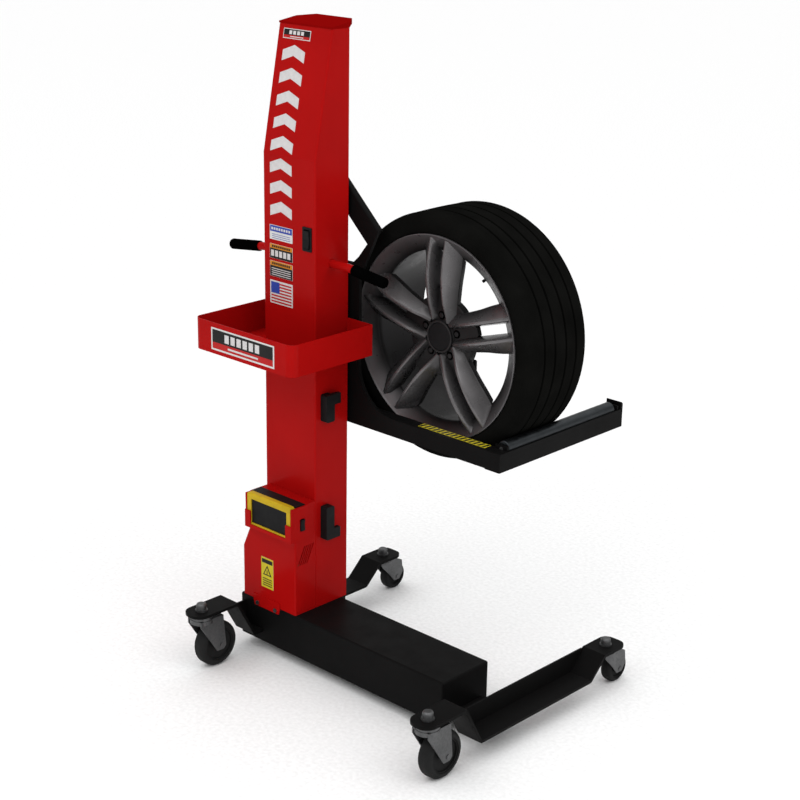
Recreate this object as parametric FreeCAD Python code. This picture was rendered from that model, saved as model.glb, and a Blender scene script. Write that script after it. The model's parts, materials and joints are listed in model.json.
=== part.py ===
"""Mobile battery wheel lift, with the wheel it carries.

A red sheet-metal column stands on a low black base with four swivel casters.
A mast channel at the back of the column guides a carriage.  Two roller forks
on the carriage cradle a wheel, and a lead screw raises and lowers it.

Frame: millimetres, +Z up, origin on the floor below the middle of the
machine's overall box.  +X runs from the column towards the wheel, and +Y runs
forwards, away from the operator, along the wheel's axle.
"""
import FreeCAD, Part
import math
import os

Vec = FreeCAD.Vector
os.makedirs("parts", exist_ok=True)

# ---------------------------------------------------------------- overall
HALF_LENGTH = 548.0          # X, grip end to the outer face of the right leg
HALF_DEPTH = 476.0           # Y, operator's caster plates to the fork ends
FIT = 0.4                    # gap between sliding or rolling pieces
RUNNING = 0.05               # radial gap of a running fit
SHEET = 2.5                  # thickness of the red covers
PAST = 10.0                  # how far a cutting tool runs past the metal

# ---------------------------------------------------------------- base
LEG_WIDTH = 75.0
LEG_PLATE = 8.0
RIGHT_LEG_X = HALF_LENGTH - LEG_WIDTH
LEFT_LEG_X = -364.0
LEG_LOW_Z = 58.0
NEAR_PLATE_Z = 175.0
FAR_PLATE_Z = 120.0
NEAR_BEND_Y = -337.0
NEAR_FOOT_Y = NEAR_BEND_Y + 60.0
FAR_BEND_Y = 228.0
FAR_FOOT_Y = FAR_BEND_Y - 58.0
FAR_PLATE_END_Y = 324.0
NEAR_CORNER = 32.0           # rounding of the plate ends
FAR_CORNER = 26.0
BEND_OUTSIDE = 10.0          # bend radii of the leg plate
BEND_INSIDE = 3.0
LEG_RIB = 6.0
LEFT_RIB_TOP_Z = 132.0

BEAM_X = (-378.0, 389.0)
BEAM_Y = (-245.0, -68.0)
BEAM_Z = (30.0, 152.0)
BEAM_SHEET = 4.0
BEAM_CORNER = 5.0
BASE_PLATE = 10.0
BASE_PLATE_LAP = 30.0        # length of the base plate below the right leg
BASE_PLATE_Y = (-215.0, -92.0)

# ---------------------------------------------------------------- mast
MAST_X = (-343.0, -218.0)
MAST_Y = (-80.0, 10.0)
MAST_Z = (66.0, 1714.0)
MAST_WALL = 5.0
MAST_SLOT_Y = (-56.0, -14.0)
MAST_PAD_X = (-288.5, MAST_X[1] + 1.0)
MAST_PAD_Y = (BASE_PLATE_Y[1], MAST_Y[1] + 2.0)

# ---------------------------------------------------------------- column
COLUMN_X = (-351.0, -155.0)
COLUMN_Y = (-170.0, -50.0)
COLUMN_Z = (BEAM_Z[1], 1722.0)
COLUMN_CORNER = 4.0
COLUMN_MID_X = sum(COLUMN_X) / 2
LEAN_START_Z = 1396.0
LEAN_TOP_Y = -109.0
WIRE_HOLE_X = (-296.0, -225.0)
WIRE_HOLE_Z = (190.0, 350.0)
CAP_FRONT_Z = 1727.0
CAP_BACK_Z = 1736.0
CAP_BACK_Y = 17.0

# ---------------------------------------------------------------- handle
HANDLE_Y = -110.0
HANDLE_Z = 1121.0
HANDLE_BEND = 160.0          # from the column's middle to where the bar bends down
HANDLE_DROOP = 7.0           # degrees
HANDLE_RADIUS = 11.0
HANDLE_WALL = 2.5
GRIP_RADIUS = 14.5
GRIP_LENGTH = 115.0
GRIP_END = 4.0               # rubber past the bar's end
GRIP_DOME = 7.0
GRIP_EDGE = 2.0
# The drooping grips' edges reach a little past the ends of their middle line.
HANDLE_HALF = HALF_LENGTH + COLUMN_MID_X - (GRIP_RADIUS - GRIP_DOME) * math.sin(math.radians(HANDLE_DROOP))

# ---------------------------------------------------------------- tool tray
TRAY_X = (COLUMN_MID_X - 190.0, COLUMN_MID_X + 190.0)
TRAY_Y = (-340.0, COLUMN_Y[1])
TRAY_Z = (878.0, 963.0)
TRAY_CORNER = 24.0

# ---------------------------------------------------------------- cord cleats
CLEAT_OUT = 24.0
CLEAT_STANDOFF = 12.0
CLEAT_BODY_Y = (-150.0, -120.0)
CLEAT_TAB_Y = (-128.0, -96.0)
CLEAT_TAB = 29.0
UPPER_CLEAT_Z = (694.0, 770.0)
LOWER_CLEAT_Z = (354.0, 450.0)

# ---------------------------------------------------------------- lift switch
SWITCH_X = (-201.0, -167.0)
SWITCH_Z = (1158.0, 1222.0)
BEZEL = 2.5
BEZEL_RIM = 4.0              # from the bezel's edge to the hole in the cover
SWITCH_BODY = 24.0
SWITCH_WALL = 1.8
LIFT_PIVOT = (COLUMN_Y[0] + 4.0, sum(SWITCH_Z) / 2)
LIFT_PIN = 2.5

# ---------------------------------------------------------------- printed plates
LABEL = 0.6
COLUMN_LABEL_X = (-327.0, -240.0)
COLUMN_LABELS_Z = ((1168.0, 1207.0), (1117.0, 1156.0), (1068.0, 1110.0), (994.0, 1057.0))
TOP_LABEL_X = (-330.0, -230.0)
TOP_LABEL_Z = (1686.0, 1711.0)
TRAY_LABEL_X = (-372.0, -128.0)
TRAY_LABEL_Z = (889.0, 950.0)
HOUSING_LABEL_X = (-291.0, -243.0)
HOUSING_LABEL_Z = (199.0, 289.0)

# ---------------------------------------------------------------- housing
HOUSING_X = (-366.0, COLUMN_X[1])
HOUSING_Y = (-245.0, COLUMN_Y[0])
HOUSING_TOP = 470.0
HOUSING_KNEE_Z = 300.0
HOUSING_SHOULDER = (-337.0, 365.0)
LOUVRES = 5
LOUVRE_PITCH = 8.0
LOUVRE_WIDTH = 4.0
LOUVRE_Y = -211.0
LOUVRE_Z = (297.0, 350.0)
LOUVRE_LEAN = 25.0
TAB_X = (-324.0, -216.0)
TAB_Z = (134.0, 168.0)
TAB_TAPER = 6.0
TAB_SCREW_INSET = 18.0
TAB_SCREW_Z = 143.0
SCREW_HEAD = (6.0, 3.5)      # radius, height
SCREW_SOCKET = (2.5, 2.0)    # radius, depth

# ---------------------------------------------------------------- battery dock
DOCK_X = (-335.0, -151.0)
DOCK_Y = (-262.0, -200.0)
DOCK_Z = (372.0, HOUSING_TOP)
DOCK_LEFT_WALL = 6.0
DOCK_RIGHT_WALL = 4.0
DOCK_FLOOR = 10.0
DOCK_BACK = 6.0
DOCK_LIP_WIDTH = 22.0
DOCK_LIP = 3.0
DOCK_LIP_HEIGHT = 50.0
POWER_Y = (-232.0, -212.0)
POWER_Z = (398.0, 436.0)
POWER_PIVOT = (DOCK_X[1] - DOCK_RIGHT_WALL / 2, sum(POWER_Z) / 2)
POWER_PIN = 1.2

# ---------------------------------------------------------------- battery pack
BATTERY_GAP = 0.8
PACK_X = (DOCK_X[0] + DOCK_LEFT_WALL + BATTERY_GAP, DOCK_X[1] - DOCK_RIGHT_WALL - 2.0)
PACK_Y = (DOCK_Y[0] + BATTERY_GAP, DOCK_Y[1] - DOCK_BACK - BATTERY_GAP)
PACK_Z = (DOCK_Z[0] + DOCK_FLOOR + FIT, 474.0)
PACK_FRAME = 16.0
PACK_FRAME_SIDE = 15.0
PACK_FRAME_BOTTOM = 5.0
PACK_FRAME_TOP = 17.0
PACK_WALL = 4.0
CELL_RADIUS = 5.6
CELL_HEIGHT = 65.0
CELL_PITCH = (22.0, 12.4)
CELL_COUNT = (7, 2)

# ---------------------------------------------------------------- carriage
PLATE_Y = (-38.0, -28.0)
TRUCK_X = (-332.0, -228.0)
TRUCK_Y = (PLATE_Y[1], 1.0)
TRUCK_Z = (760.0, 1390.0)
TRUCK_WALL = 5.0
ARM_Z = (664.0, 712.0)
ARM_Y = (PLATE_Y[1], 2.0)
UPRIGHT_X = -125.0
UPRIGHT_TOP_Z = 1112.0
FLARE_RADIUS = 126.0
BRACE_HALF_WIDTH = 30.0
BRACE_WALL = 4.0
BRACE_CORNER = 5.0
BRACE_Y = (PLATE_Y[0], PLATE_Y[0] + 20.0)
BRACE_TOP = (TRUCK_X[1], 1333.0)
BRACE_FOOT = (-78.0, 1191.0)
EAR_NECK = (-92.0, 1142.0)   # corners of the ear below the brace's foot
EAR_ARMPIT = (-128.0, 1132.0)
PAD_HEIGHT = 60.0
PAD_INSET = 6.0

# ---------------------------------------------------------------- screw and drive
SCREW = (-285.0, -58.0)
SCREW_RADIUS = 10.0
SCREW_ROOT = 8.4
SCREW_TIP = SCREW_ROOT - 1.0
SCREW_Z = (132.0, 1700.0)
SCREW_FOOT_Z = 114.0
BEARING_Z = (SCREW_Z[1] - 18.0, SCREW_Z[1])
BEARING_HALF = 24.0
BEARING_DEPTH = 40.0
NUT_HALF = 15.0
NUT_HEIGHT = 40.0
DRIVE_Z = 106.0
MOTOR_RADIUS = 31.0
MOTOR_Y = (-228.0, -100.0)
MOTOR_CAP = (26.0, 8.0)      # radius, length
GEARBOX_HALF = 40.0
GEARBOX_TOP = 128.0
BOARD_X = (-330.0, -190.0)
BOARD_Y = (-208.0, -200.0)
BOARD_Z = (200.0, 330.0)
HEAT_SINK_INSET = 30.0
HEAT_SINK_DEPTH = 16.0

# ---------------------------------------------------------------- wheel
WHEEL_X = 90.0
WHEEL_Z = 944.0
TYRE_RADIUS = 330.0
TYRE_Y = (17.0, 257.0)
TYRE_GROOVES = (-63.0, -22.0, 22.0, 63.0)
GROOVE_DEPTH = 6.0
GROOVE_HALF = 3.0
RIM_FLANGE = 275.0
BEAD_SEAT = 256.5
RIM_Y = (TYRE_Y[0] + 3.0, TYRE_Y[1] - 3.0)
FACE_RING = 228.0            # inner radius of the sloping ring around the windows
FACE_RING_Y = 52.0
HUB_RADIUS = 108.0
HUB_Y = (50.0, 72.0)
HUB_BORE = 38.0
CAP_RING = 43.5
CAP_Y = 41.0
SPOKE_PAIRS = 5
SPOKE_PHASE = 17.0
SPOKE_BACK_Y = 64.0
CREST_OFFSET = 26.0          # from a pair's middle line to each blade's crest
CREST_HALF = 3.5
SLOT_HALF = 13.0
# radius, Y of the crest, half width of the pair at its foot
BLADE_STATIONS = ((36.0, 41.0, 50.0), (62.0, 36.0, 51.0), (100.0, 22.0, 52.0), (150.0, 14.0, 56.0),
                  (200.0, 15.0, 63.0), (275.0, 27.0, 72.0))
WEB_REACH = 131.0
LUG_CIRCLE = 57.15
LUG_SEAT = 11.0
LUG_SEAT_DEPTH = 8.0
LUG_HOLE = 7.5
VALVE = (4.0, 34.0)          # radius, length

# ---------------------------------------------------------------- forks
FORK_WALL = 4.0
FORK_WIDTH = 49.0
FORK_Z = (662.0, 712.0)
FORK_WELL_Y = -4.0
FORK_END = (8.0, 5.0)        # length of the plate that closes a fork's end, and its chamfer
AXLE_BLOCK = 6.0
FAR_BLOCK_Y = 456.0
ROLLER_RADIUS = 19.0
ROLLER_HALF_SPREAD = 262.5
ROLLER_Y = (6.0, 447.0)
ROLLER_AXLE_RADIUS = 6.0
CRADLE_REACH = TYRE_RADIUS + ROLLER_RADIUS + FIT
ROLLER_Z = WHEEL_Z - math.sqrt(CRADLE_REACH ** 2 - ROLLER_HALF_SPREAD ** 2)

# ---------------------------------------------------------------- casters
NEAR_STEM_Y = -434.0
FAR_STEM_Y = 276.0
LEFT_STEM_X = LEFT_LEG_X + LEG_WIDTH / 2
RIGHT_STEM_X = RIGHT_LEG_X + LEG_WIDTH / 2
# "cheek" holds a cheek's lower corners from the rear edge round to the front, as
# (Y, Z) from the axle; "rear" and "front" are its top corners, as Y from the stem.
NEAR_CASTER = {"wheel": 64.0, "width": 42.0, "trail": 46.0, "steel": 4.0, "head": 13.0,
               "race": 32.0, "skirt": 12.0, "nut": 14.0, "nut_height": 18.0, "stem": 6.0,
               "front": -25.0, "rear": 54.0, "cheek": ((16.0, -4.0), (7.0, -13.0), (-16.0, -13.0))}
FAR_CASTER = {"wheel": 41.0, "width": 34.0, "trail": 42.0, "steel": 3.0, "head": 10.0,
              "race": 27.0, "skirt": 6.0, "nut": 13.5, "nut_height": 17.0, "stem": 6.0,
              "front": -26.0, "rear": 40.0,
              "cheek": ((18.0, 50.0), (23.0, 11.0), (8.0, -9.0), (-14.0, -9.0), (-38.0, 20.0))}
CASTER_ENDS = ({"name": "near", "spec": NEAR_CASTER, "stem_y": NEAR_STEM_Y, "plate_top": NEAR_PLATE_Z},
               {"name": "far", "spec": FAR_CASTER, "stem_y": FAR_STEM_Y, "plate_top": FAR_PLATE_Z})
CHEEK_GAP = 3.0              # between a caster wheel and each cheek
CHEEK_CORNER = 5.0
CASTER_AXLE = 4.0
AXLE_HEAD = (6.5, 1.5)       # radius, height
CORE_SHARE = 0.74            # caster core radius over wheel radius
TREAD_ROUNDING = 0.34        # edge rounding over tread width
CORE_HUB = 12.0
CORE_INSET = 3.0
CORE_DISH = 5.0
WASHER = (3.0, 4.0)          # past the nut's radius, height
NUT_DOME = 6.0

X_AXIS, Y_AXIS, Z_AXIS = Vec(1, 0, 0), Vec(0, 1, 0), Vec(0, 0, 1)


# ================================================================ helpers
def save(name, *solids):
    """Write one node: a single solid, or a group of separate solids."""
    shape = solids[0] if len(solids) == 1 else Part.makeCompound(list(solids))
    if not shape.isValid():
        raise ValueError("invalid shape: " + name)
    shape.exportStep("parts/" + name + ".step")


def box(x_span, y_span, z_span):
    corner = Vec(x_span[0], y_span[0], z_span[0])
    return Part.makeBox(x_span[1] - x_span[0], y_span[1] - y_span[0], z_span[1] - z_span[0], corner)


def shrink(span, amount):
    return (span[0] + amount, span[1] - amount)


def rod(radius, start, end):
    """A cylinder between two points."""
    axis = Vec(*end) - Vec(*start)
    return Part.makeCylinder(radius, axis.Length, Vec(*start), axis)


def face_of(points):
    corners = [Vec(*point) for point in points]
    return Part.Face(Part.makePolygon(corners + corners[:1]))


def prism_xz(points, y_span):
    """Extrude an outline drawn in X and Z along Y."""
    face = face_of([(x, y_span[0], z) for x, z in points])
    return face.extrude(Vec(0, y_span[1] - y_span[0], 0))


def prism_yz(points, x_span):
    face = face_of([(x_span[0], y, z) for y, z in points])
    return face.extrude(Vec(x_span[1] - x_span[0], 0, 0))


def prism_xy(points, z_span):
    face = face_of([(x, y, z_span[0]) for x, y in points])
    return face.extrude(Vec(0, 0, z_span[1] - z_span[0]))


def about_y(profile, centre=(WHEEL_X, WHEEL_Z)):
    """Revolve a closed outline of (radius, y) points about an axle along Y."""
    face = face_of([(centre[0] + radius, y, centre[1]) for radius, y in profile])
    return face.revolve(Vec(centre[0], 0, centre[1]), Y_AXIS, 360)


def round_edges(shape, radius, test):
    """Fillet the straight edges whose middle point and direction pass a test."""
    chosen = []
    for edge in shape.Edges:
        if len(edge.Vertexes) == 2 and isinstance(edge.Curve, Part.Line):
            start = edge.Vertexes[0].Point
            end = edge.Vertexes[1].Point
            direction = (end - start).normalize()
            if test((start + end) * 0.5, direction):
                chosen.append(edge)
    return shape.makeFillet(radius, chosen)


def round_edges_along(shape, radius, axis):
    return round_edges(shape, radius, lambda middle, direction: along(direction, axis))


def along(direction, axis):
    return abs(direction.dot(axis)) > 0.999


def circles_at(shape, axis, place):
    """Circular edges whose centre lies at a place along an axis."""
    return [edge for edge in shape.Edges
            if isinstance(edge.Curve, Part.Circle) and abs(edge.Curve.Center.dot(axis) - place) < 0.5]


# ================================================================ base
def leg_profile():
    """Side view of a leg's bent plate: high at both ends, low between."""
    low = LEG_LOW_Z
    near = NEAR_PLATE_Z - LEG_PLATE
    far = FAR_PLATE_Z - LEG_PLATE
    under = [(-HALF_DEPTH, near), (NEAR_BEND_Y, near), (NEAR_FOOT_Y, low), (FAR_FOOT_Y, low),
             (FAR_BEND_Y, far), (FAR_PLATE_END_Y, far)]
    near_shift = LEG_PLATE * math.tan(math.atan2(near - low, NEAR_FOOT_Y - NEAR_BEND_Y) / 2)
    far_shift = LEG_PLATE * math.tan(math.atan2(far - low, FAR_BEND_Y - FAR_FOOT_Y) / 2)
    over = [(FAR_PLATE_END_Y, FAR_PLATE_Z), (FAR_BEND_Y - far_shift, FAR_PLATE_Z),
            (FAR_FOOT_Y - far_shift, low + LEG_PLATE), (NEAR_FOOT_Y + near_shift, low + LEG_PLATE),
            (NEAR_BEND_Y + near_shift, NEAR_PLATE_Z), (-HALF_DEPTH, NEAR_PLATE_Z)]
    return under + over


def round_bends(leg):
    """Round the four bends: wide below the sheet's corner, tight on the other side."""
    bend_ys = (NEAR_BEND_Y, NEAR_FOOT_Y, FAR_BEND_Y, FAR_FOOT_Y)

    def from_bend(middle):
        return min(abs(middle.y - bend_y) for bend_y in bend_ys)
    leg = round_edges(leg, BEND_OUTSIDE, lambda middle, direction: along(direction, X_AXIS)
                      and from_bend(middle) < 1)
    return round_edges(leg, BEND_INSIDE, lambda middle, direction: along(direction, X_AXIS)
                       and 1 <= from_bend(middle) < BEND_OUTSIDE)


def make_leg(name, left_x, rib_outline):
    """A leg: bent plate with rounded ends, caster holes and a side rib."""
    leg = prism_yz(leg_profile(), (left_x, left_x + LEG_WIDTH))
    leg = round_edges(leg, NEAR_CORNER, lambda middle, direction: along(direction, Z_AXIS) and middle.y < 0)
    leg = round_edges(leg, FAR_CORNER, lambda middle, direction: along(direction, Z_AXIS) and middle.y > 0)
    leg = round_bends(leg)
    stem_x = left_x + LEG_WIDTH / 2
    for end in CASTER_ENDS:
        below = (stem_x, end["stem_y"], end["plate_top"] - LEG_PLATE - PAST)
        above = (stem_x, end["stem_y"], end["plate_top"] + PAST)
        leg = leg.cut(rod(end["spec"]["stem"], below, above))
    rib = prism_yz(rib_outline, (left_x, left_x + LEG_RIB))
    save(name, leg.fuse(rib).removeSplitter())


def near_slant_y(z):
    """Y of the rib's end where it follows the near slant up to a height."""
    slope = (NEAR_FOOT_Y - NEAR_BEND_Y) / (NEAR_PLATE_Z - LEG_PLATE - LEG_LOW_Z)
    return NEAR_FOOT_Y - (z - LEG_LOW_Z) * slope + LEG_PLATE


def make_legs():
    """Left and right legs; the right one's rib runs the whole low stretch."""
    low = LEG_LOW_Z + LEG_PLATE - 1
    start_y = near_slant_y(low) - 1
    left_rib = [(start_y, low), (BEAM_Y[0], low), (BEAM_Y[0], LEFT_RIB_TOP_Z),
                (near_slant_y(LEFT_RIB_TOP_Z), LEFT_RIB_TOP_Z)]
    right_rib = [(start_y, low), (FAR_FOOT_Y, low), (FAR_BEND_Y - 2 * LEG_RIB, FAR_PLATE_Z - 1),
                 (near_slant_y(FAR_PLATE_Z), FAR_PLATE_Z)]
    make_leg("leg_left", LEFT_LEG_X, left_rib)
    make_leg("leg_right", RIGHT_LEG_X, right_rib)


def make_base_plate():
    """Flat plate under the beam and the right leg, with a pad below the mast."""
    right = RIGHT_LEG_X + BASE_PLATE_LAP
    outline = [(LEFT_LEG_X, BASE_PLATE_Y[0]), (right, BASE_PLATE_Y[0]), (right, BASE_PLATE_Y[1]),
               (MAST_PAD_X[1], BASE_PLATE_Y[1]), (MAST_PAD_X[1], MAST_PAD_Y[1]), (LEFT_LEG_X, MAST_PAD_Y[1])]
    save("base_plate", prism_xy(outline, (LEG_LOW_Z - BASE_PLATE, LEG_LOW_Z)))


def make_beam():
    """Folded cover of the beam, open below and notched around what passes through."""
    shell = box(BEAM_X, BEAM_Y, BEAM_Z)
    shell = round_edges(shell, BEAM_CORNER, lambda middle, direction: middle.z > BEAM_Z[1] - 1
                        or along(direction, Z_AXIS))
    inner_z = (BEAM_Z[0] - 1, BEAM_Z[1] - BEAM_SHEET)
    shell = shell.cut(box(shrink(BEAM_X, BEAM_SHEET), shrink(BEAM_Y, BEAM_SHEET), inner_z))
    over_leg = (0, LEG_LOW_Z + LEG_PLATE + 1)
    leg_x = (LEFT_LEG_X - 1, LEFT_LEG_X + LEG_WIDTH + 1)
    leg_window = box(leg_x, (BEAM_Y[0] - PAST, BEAM_Y[1] + PAST), (LEG_LOW_Z - 1, LEG_LOW_Z + LEG_PLATE + 1))
    pad_notch = box((LEFT_LEG_X - 1, MAST_PAD_X[1] + 1), (MAST_Y[0] - PAST, BEAM_Y[1] + PAST), over_leg)
    plate_notch = box((0, HALF_LENGTH), (BASE_PLATE_Y[0] - 1, BASE_PLATE_Y[1] + 1), (0, LEG_LOW_Z + 1))
    mast_notch = box((MAST_X[0] - 1, MAST_X[1] + 1), (MAST_Y[0] - 1, BEAM_Y[1] + PAST), (0, BEAM_Z[1] + PAST))
    for notch in (leg_window, pad_notch, plate_notch, mast_notch):
        shell = shell.cut(notch)
    save("beam_shell", shell)


# ================================================================ mast and column
def make_mast():
    """C-channel open towards the wheel, with a foot flange on the base plate."""
    through_z = (MAST_Z[0] - 1, MAST_Z[1] + 1)
    channel = box(MAST_X, MAST_Y, MAST_Z)
    inside = box(shrink(MAST_X, MAST_WALL), shrink(MAST_Y, MAST_WALL), through_z)
    slot = box((MAST_X[1] - PAST, MAST_X[1] + 1), MAST_SLOT_Y, through_z)
    drive_port = rod(MOTOR_RADIUS + 1, (SCREW[0], MAST_Y[0] - 1, DRIVE_Z),
                     (SCREW[0], MAST_Y[0] + MAST_WALL + 1, DRIVE_Z))
    foot = box(MAST_PAD_X, MAST_PAD_Y, (LEG_LOW_Z, MAST_Z[0]))
    mast = channel.cut(inside).cut(slot).cut(drive_port).fuse(foot)
    save("mast_channel", mast.removeSplitter())


def column_outline(inset):
    """Side view of the cover: upright, then leaning back near the top."""
    front = COLUMN_Y[0] + inset
    return [(front, COLUMN_Z[0]), (front, LEAN_START_Z), (LEAN_TOP_Y + inset, COLUMN_Z[1]),
            (COLUMN_Y[1], COLUMN_Z[1]), (COLUMN_Y[1], COLUMN_Z[0])]


def make_column_cover():
    """Folded red cover with a back panel, and holes for the bar, switch and wires."""
    cover = prism_yz(column_outline(0), COLUMN_X)
    cover = round_edges(cover, COLUMN_CORNER, lambda middle, direction: middle.y < COLUMN_Y[1] - 1
                        and not along(direction, X_AXIS) and not along(direction, Y_AXIS))
    inner_x = shrink(COLUMN_X, SHEET)
    cover = cover.cut(prism_yz(column_outline(SHEET), inner_x))
    cover = cover.cut(box(inner_x, (COLUMN_Y[0] + SHEET, COLUMN_Y[1]), (COLUMN_Z[0] - 1, COLUMN_Z[0] + 1)))
    back_y = (COLUMN_Y[1] - SHEET, COLUMN_Y[1])
    back_panel = box((MAST_X[1] + 4, inner_x[1]), back_y, COLUMN_Z)
    lip = box((inner_x[0], MAST_X[0] - 1), back_y, COLUMN_Z)
    cover = cover.fuse(back_panel).fuse(lip).removeSplitter()

    front_y = (COLUMN_Y[0] - PAST, COLUMN_Y[0] + PAST)
    bar = rod(HANDLE_RADIUS + FIT, (COLUMN_X[0] - PAST, HANDLE_Y, HANDLE_Z),
              (COLUMN_X[1] + PAST, HANDLE_Y, HANDLE_Z))
    switch_hole = box(shrink(SWITCH_X, BEZEL_RIM), front_y, shrink(SWITCH_Z, BEZEL_RIM))
    wire_hole = box(WIRE_HOLE_X, front_y, WIRE_HOLE_Z)
    save("column_cover", cover.cut(bar).cut(switch_hole).cut(wire_hole))


def make_column_cap():
    """Sloping lid that also covers the mast's top."""
    front_y = LEAN_TOP_Y - 1
    outline = [(COLUMN_X[0], front_y), (COLUMN_X[1], front_y), (COLUMN_X[1], COLUMN_Y[1]),
               (MAST_X[1] + 5, CAP_BACK_Y), (MAST_X[0] - 2, CAP_BACK_Y), (COLUMN_X[0], COLUMN_Y[1])]
    cap = prism_xy(outline, (COLUMN_Z[1], CAP_BACK_Z))
    above = [(front_y - 1, CAP_FRONT_Z), (front_y, CAP_FRONT_Z), (COLUMN_Y[1], CAP_BACK_Z),
             (COLUMN_Y[1], CAP_BACK_Z + PAST), (front_y - 1, CAP_BACK_Z + PAST)]
    save("column_cap", cap.cut(prism_yz(above, (COLUMN_X[0] - PAST, COLUMN_X[1] + PAST))))


# ================================================================ column fittings
def handle_point(side, reach):
    """A point of the bar's middle line, at a reach along X from the column's middle."""
    drop = max(0.0, reach - HANDLE_BEND) * math.tan(math.radians(HANDLE_DROOP))
    return Vec(COLUMN_MID_X + side * reach, HANDLE_Y, HANDLE_Z - drop)


def bent_bar(radius, reach):
    """A round bar that is level through the column and droops towards both ends."""
    bar = rod(radius, handle_point(-1, HANDLE_BEND), handle_point(1, HANDLE_BEND))
    for side in (-1, 1):
        bend = handle_point(side, HANDLE_BEND)
        bar = bar.fuse(rod(radius, bend, handle_point(side, reach)))
        bar = bar.fuse(Part.makeSphere(radius, bend))
    return bar.removeSplitter()


def make_grip(side):
    """Rubber grip over one end of the handle bar, domed outside."""
    outer = handle_point(side, HANDLE_HALF)
    inner = handle_point(side, HANDLE_HALF - GRIP_LENGTH)
    grip = rod(GRIP_RADIUS, outer, inner)
    grip = grip.makeFillet(GRIP_DOME, circles_at(grip, X_AXIS, outer.x))
    grip = grip.makeFillet(GRIP_EDGE, circles_at(grip, X_AXIS, inner.x))
    bar_end = handle_point(side, HANDLE_HALF - GRIP_END)
    past_inner = handle_point(side, HANDLE_HALF - GRIP_LENGTH - PAST)
    return grip.cut(rod(HANDLE_RADIUS, bar_end, past_inner))


def make_handle():
    """Hollow handle bar through the column with a grip on each end."""
    reach = HANDLE_HALF - GRIP_END
    bore = bent_bar(HANDLE_RADIUS - HANDLE_WALL, reach + PAST)
    save("handle_bar", bent_bar(HANDLE_RADIUS, reach).cut(bore))
    save("handle_grips", make_grip(-1), make_grip(1))


def tray_body(inset, z_span):
    """The tray's block, rounded at its front corners and drawn in by an inset."""
    body = box(shrink(TRAY_X, inset), shrink(TRAY_Y, inset), z_span)
    return round_edges(body, TRAY_CORNER - inset, lambda middle, direction: along(direction, Z_AXIS)
                       and middle.y < COLUMN_Y[0])


def make_tray():
    """Open tray that wraps the front and both sides of the column."""
    inside = tray_body(SHEET, (TRAY_Z[0] + SHEET, TRAY_Z[1] + 1))
    column_hole = box(COLUMN_X, (COLUMN_Y[0], COLUMN_Y[1] + 1), (TRAY_Z[0] - 1, TRAY_Z[1] + 1))
    save("tool_tray", tray_body(0, TRAY_Z).cut(inside).cut(column_hole))


def make_cleat(body_z, tab_z):
    """Block on the column's side with a tab that holds the cord turns."""
    face = COLUMN_X[1]
    body = round_edges_along(box((face, face + CLEAT_OUT), CLEAT_BODY_Y, body_z), 5.0, X_AXIS)
    tab = box((face + CLEAT_STANDOFF, face + CLEAT_OUT), CLEAT_TAB_Y, tab_z)
    tab = round_edges(tab, 3.0, lambda middle, direction: middle.y > CLEAT_TAB_Y[1] - 1)
    return body.fuse(tab).removeSplitter()


def make_cleats():
    """Two cord cleats: the upper one's tab is at its top, the lower one's at its foot."""
    upper = make_cleat(UPPER_CLEAT_Z, (UPPER_CLEAT_Z[1] - CLEAT_TAB, UPPER_CLEAT_Z[1]))
    lower = make_cleat(LOWER_CLEAT_Z, (LOWER_CLEAT_Z[0], LOWER_CLEAT_Z[0] + CLEAT_TAB))
    save("cord_cleats", upper, lower)


def make_lift_switch():
    """Up and down rocker: a bezel in the cover and a sprung rocker on a pin in it."""
    front = COLUMN_Y[0]
    body_inset = BEZEL_RIM + 0.2
    well_inset = body_inset + SWITCH_WALL
    bezel = round_edges_along(box(SWITCH_X, (front - BEZEL, front), SWITCH_Z), 3.0, Y_AXIS)
    body = box(shrink(SWITCH_X, body_inset), (front, front + SWITCH_BODY), shrink(SWITCH_Z, body_inset))
    well = box(shrink(SWITCH_X, well_inset), (front - PAST, front + SWITCH_BODY - 2 * SWITCH_WALL),
               shrink(SWITCH_Z, well_inset))
    pivot_y, pivot_z = LIFT_PIVOT
    pin_x = shrink(SWITCH_X, body_inset + FIT)
    pin_ends = [(x, pivot_y, pivot_z) for x in pin_x]
    bezel = bezel.fuse(body).cut(well)
    save("lift_switch_bezel", bezel.cut(rod(LIFT_PIN + RUNNING, *pin_ends)).removeSplitter())

    half = (SWITCH_Z[1] - SWITCH_Z[0]) / 2 - well_inset - 3
    outline = [(front - 7.5, pivot_z - half), (front - 4, pivot_z), (front - 7.5, pivot_z + half),
               (front + 2.5, pivot_z + half), (front + 8, pivot_z + 6), (front + 8, pivot_z - 6),
               (front + 2.5, pivot_z - half)]
    rocker = prism_yz(outline, shrink(SWITCH_X, well_inset + 1))
    save("lift_rocker", rocker.fuse(rod(LIFT_PIN, *pin_ends)).removeSplitter())


def lean_y(z):
    """Y of the cover's leaning front at a height."""
    share = (z - LEAN_START_Z) / (COLUMN_Z[1] - LEAN_START_Z)
    return COLUMN_Y[0] + share * (LEAN_TOP_Y - COLUMN_Y[0])


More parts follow.
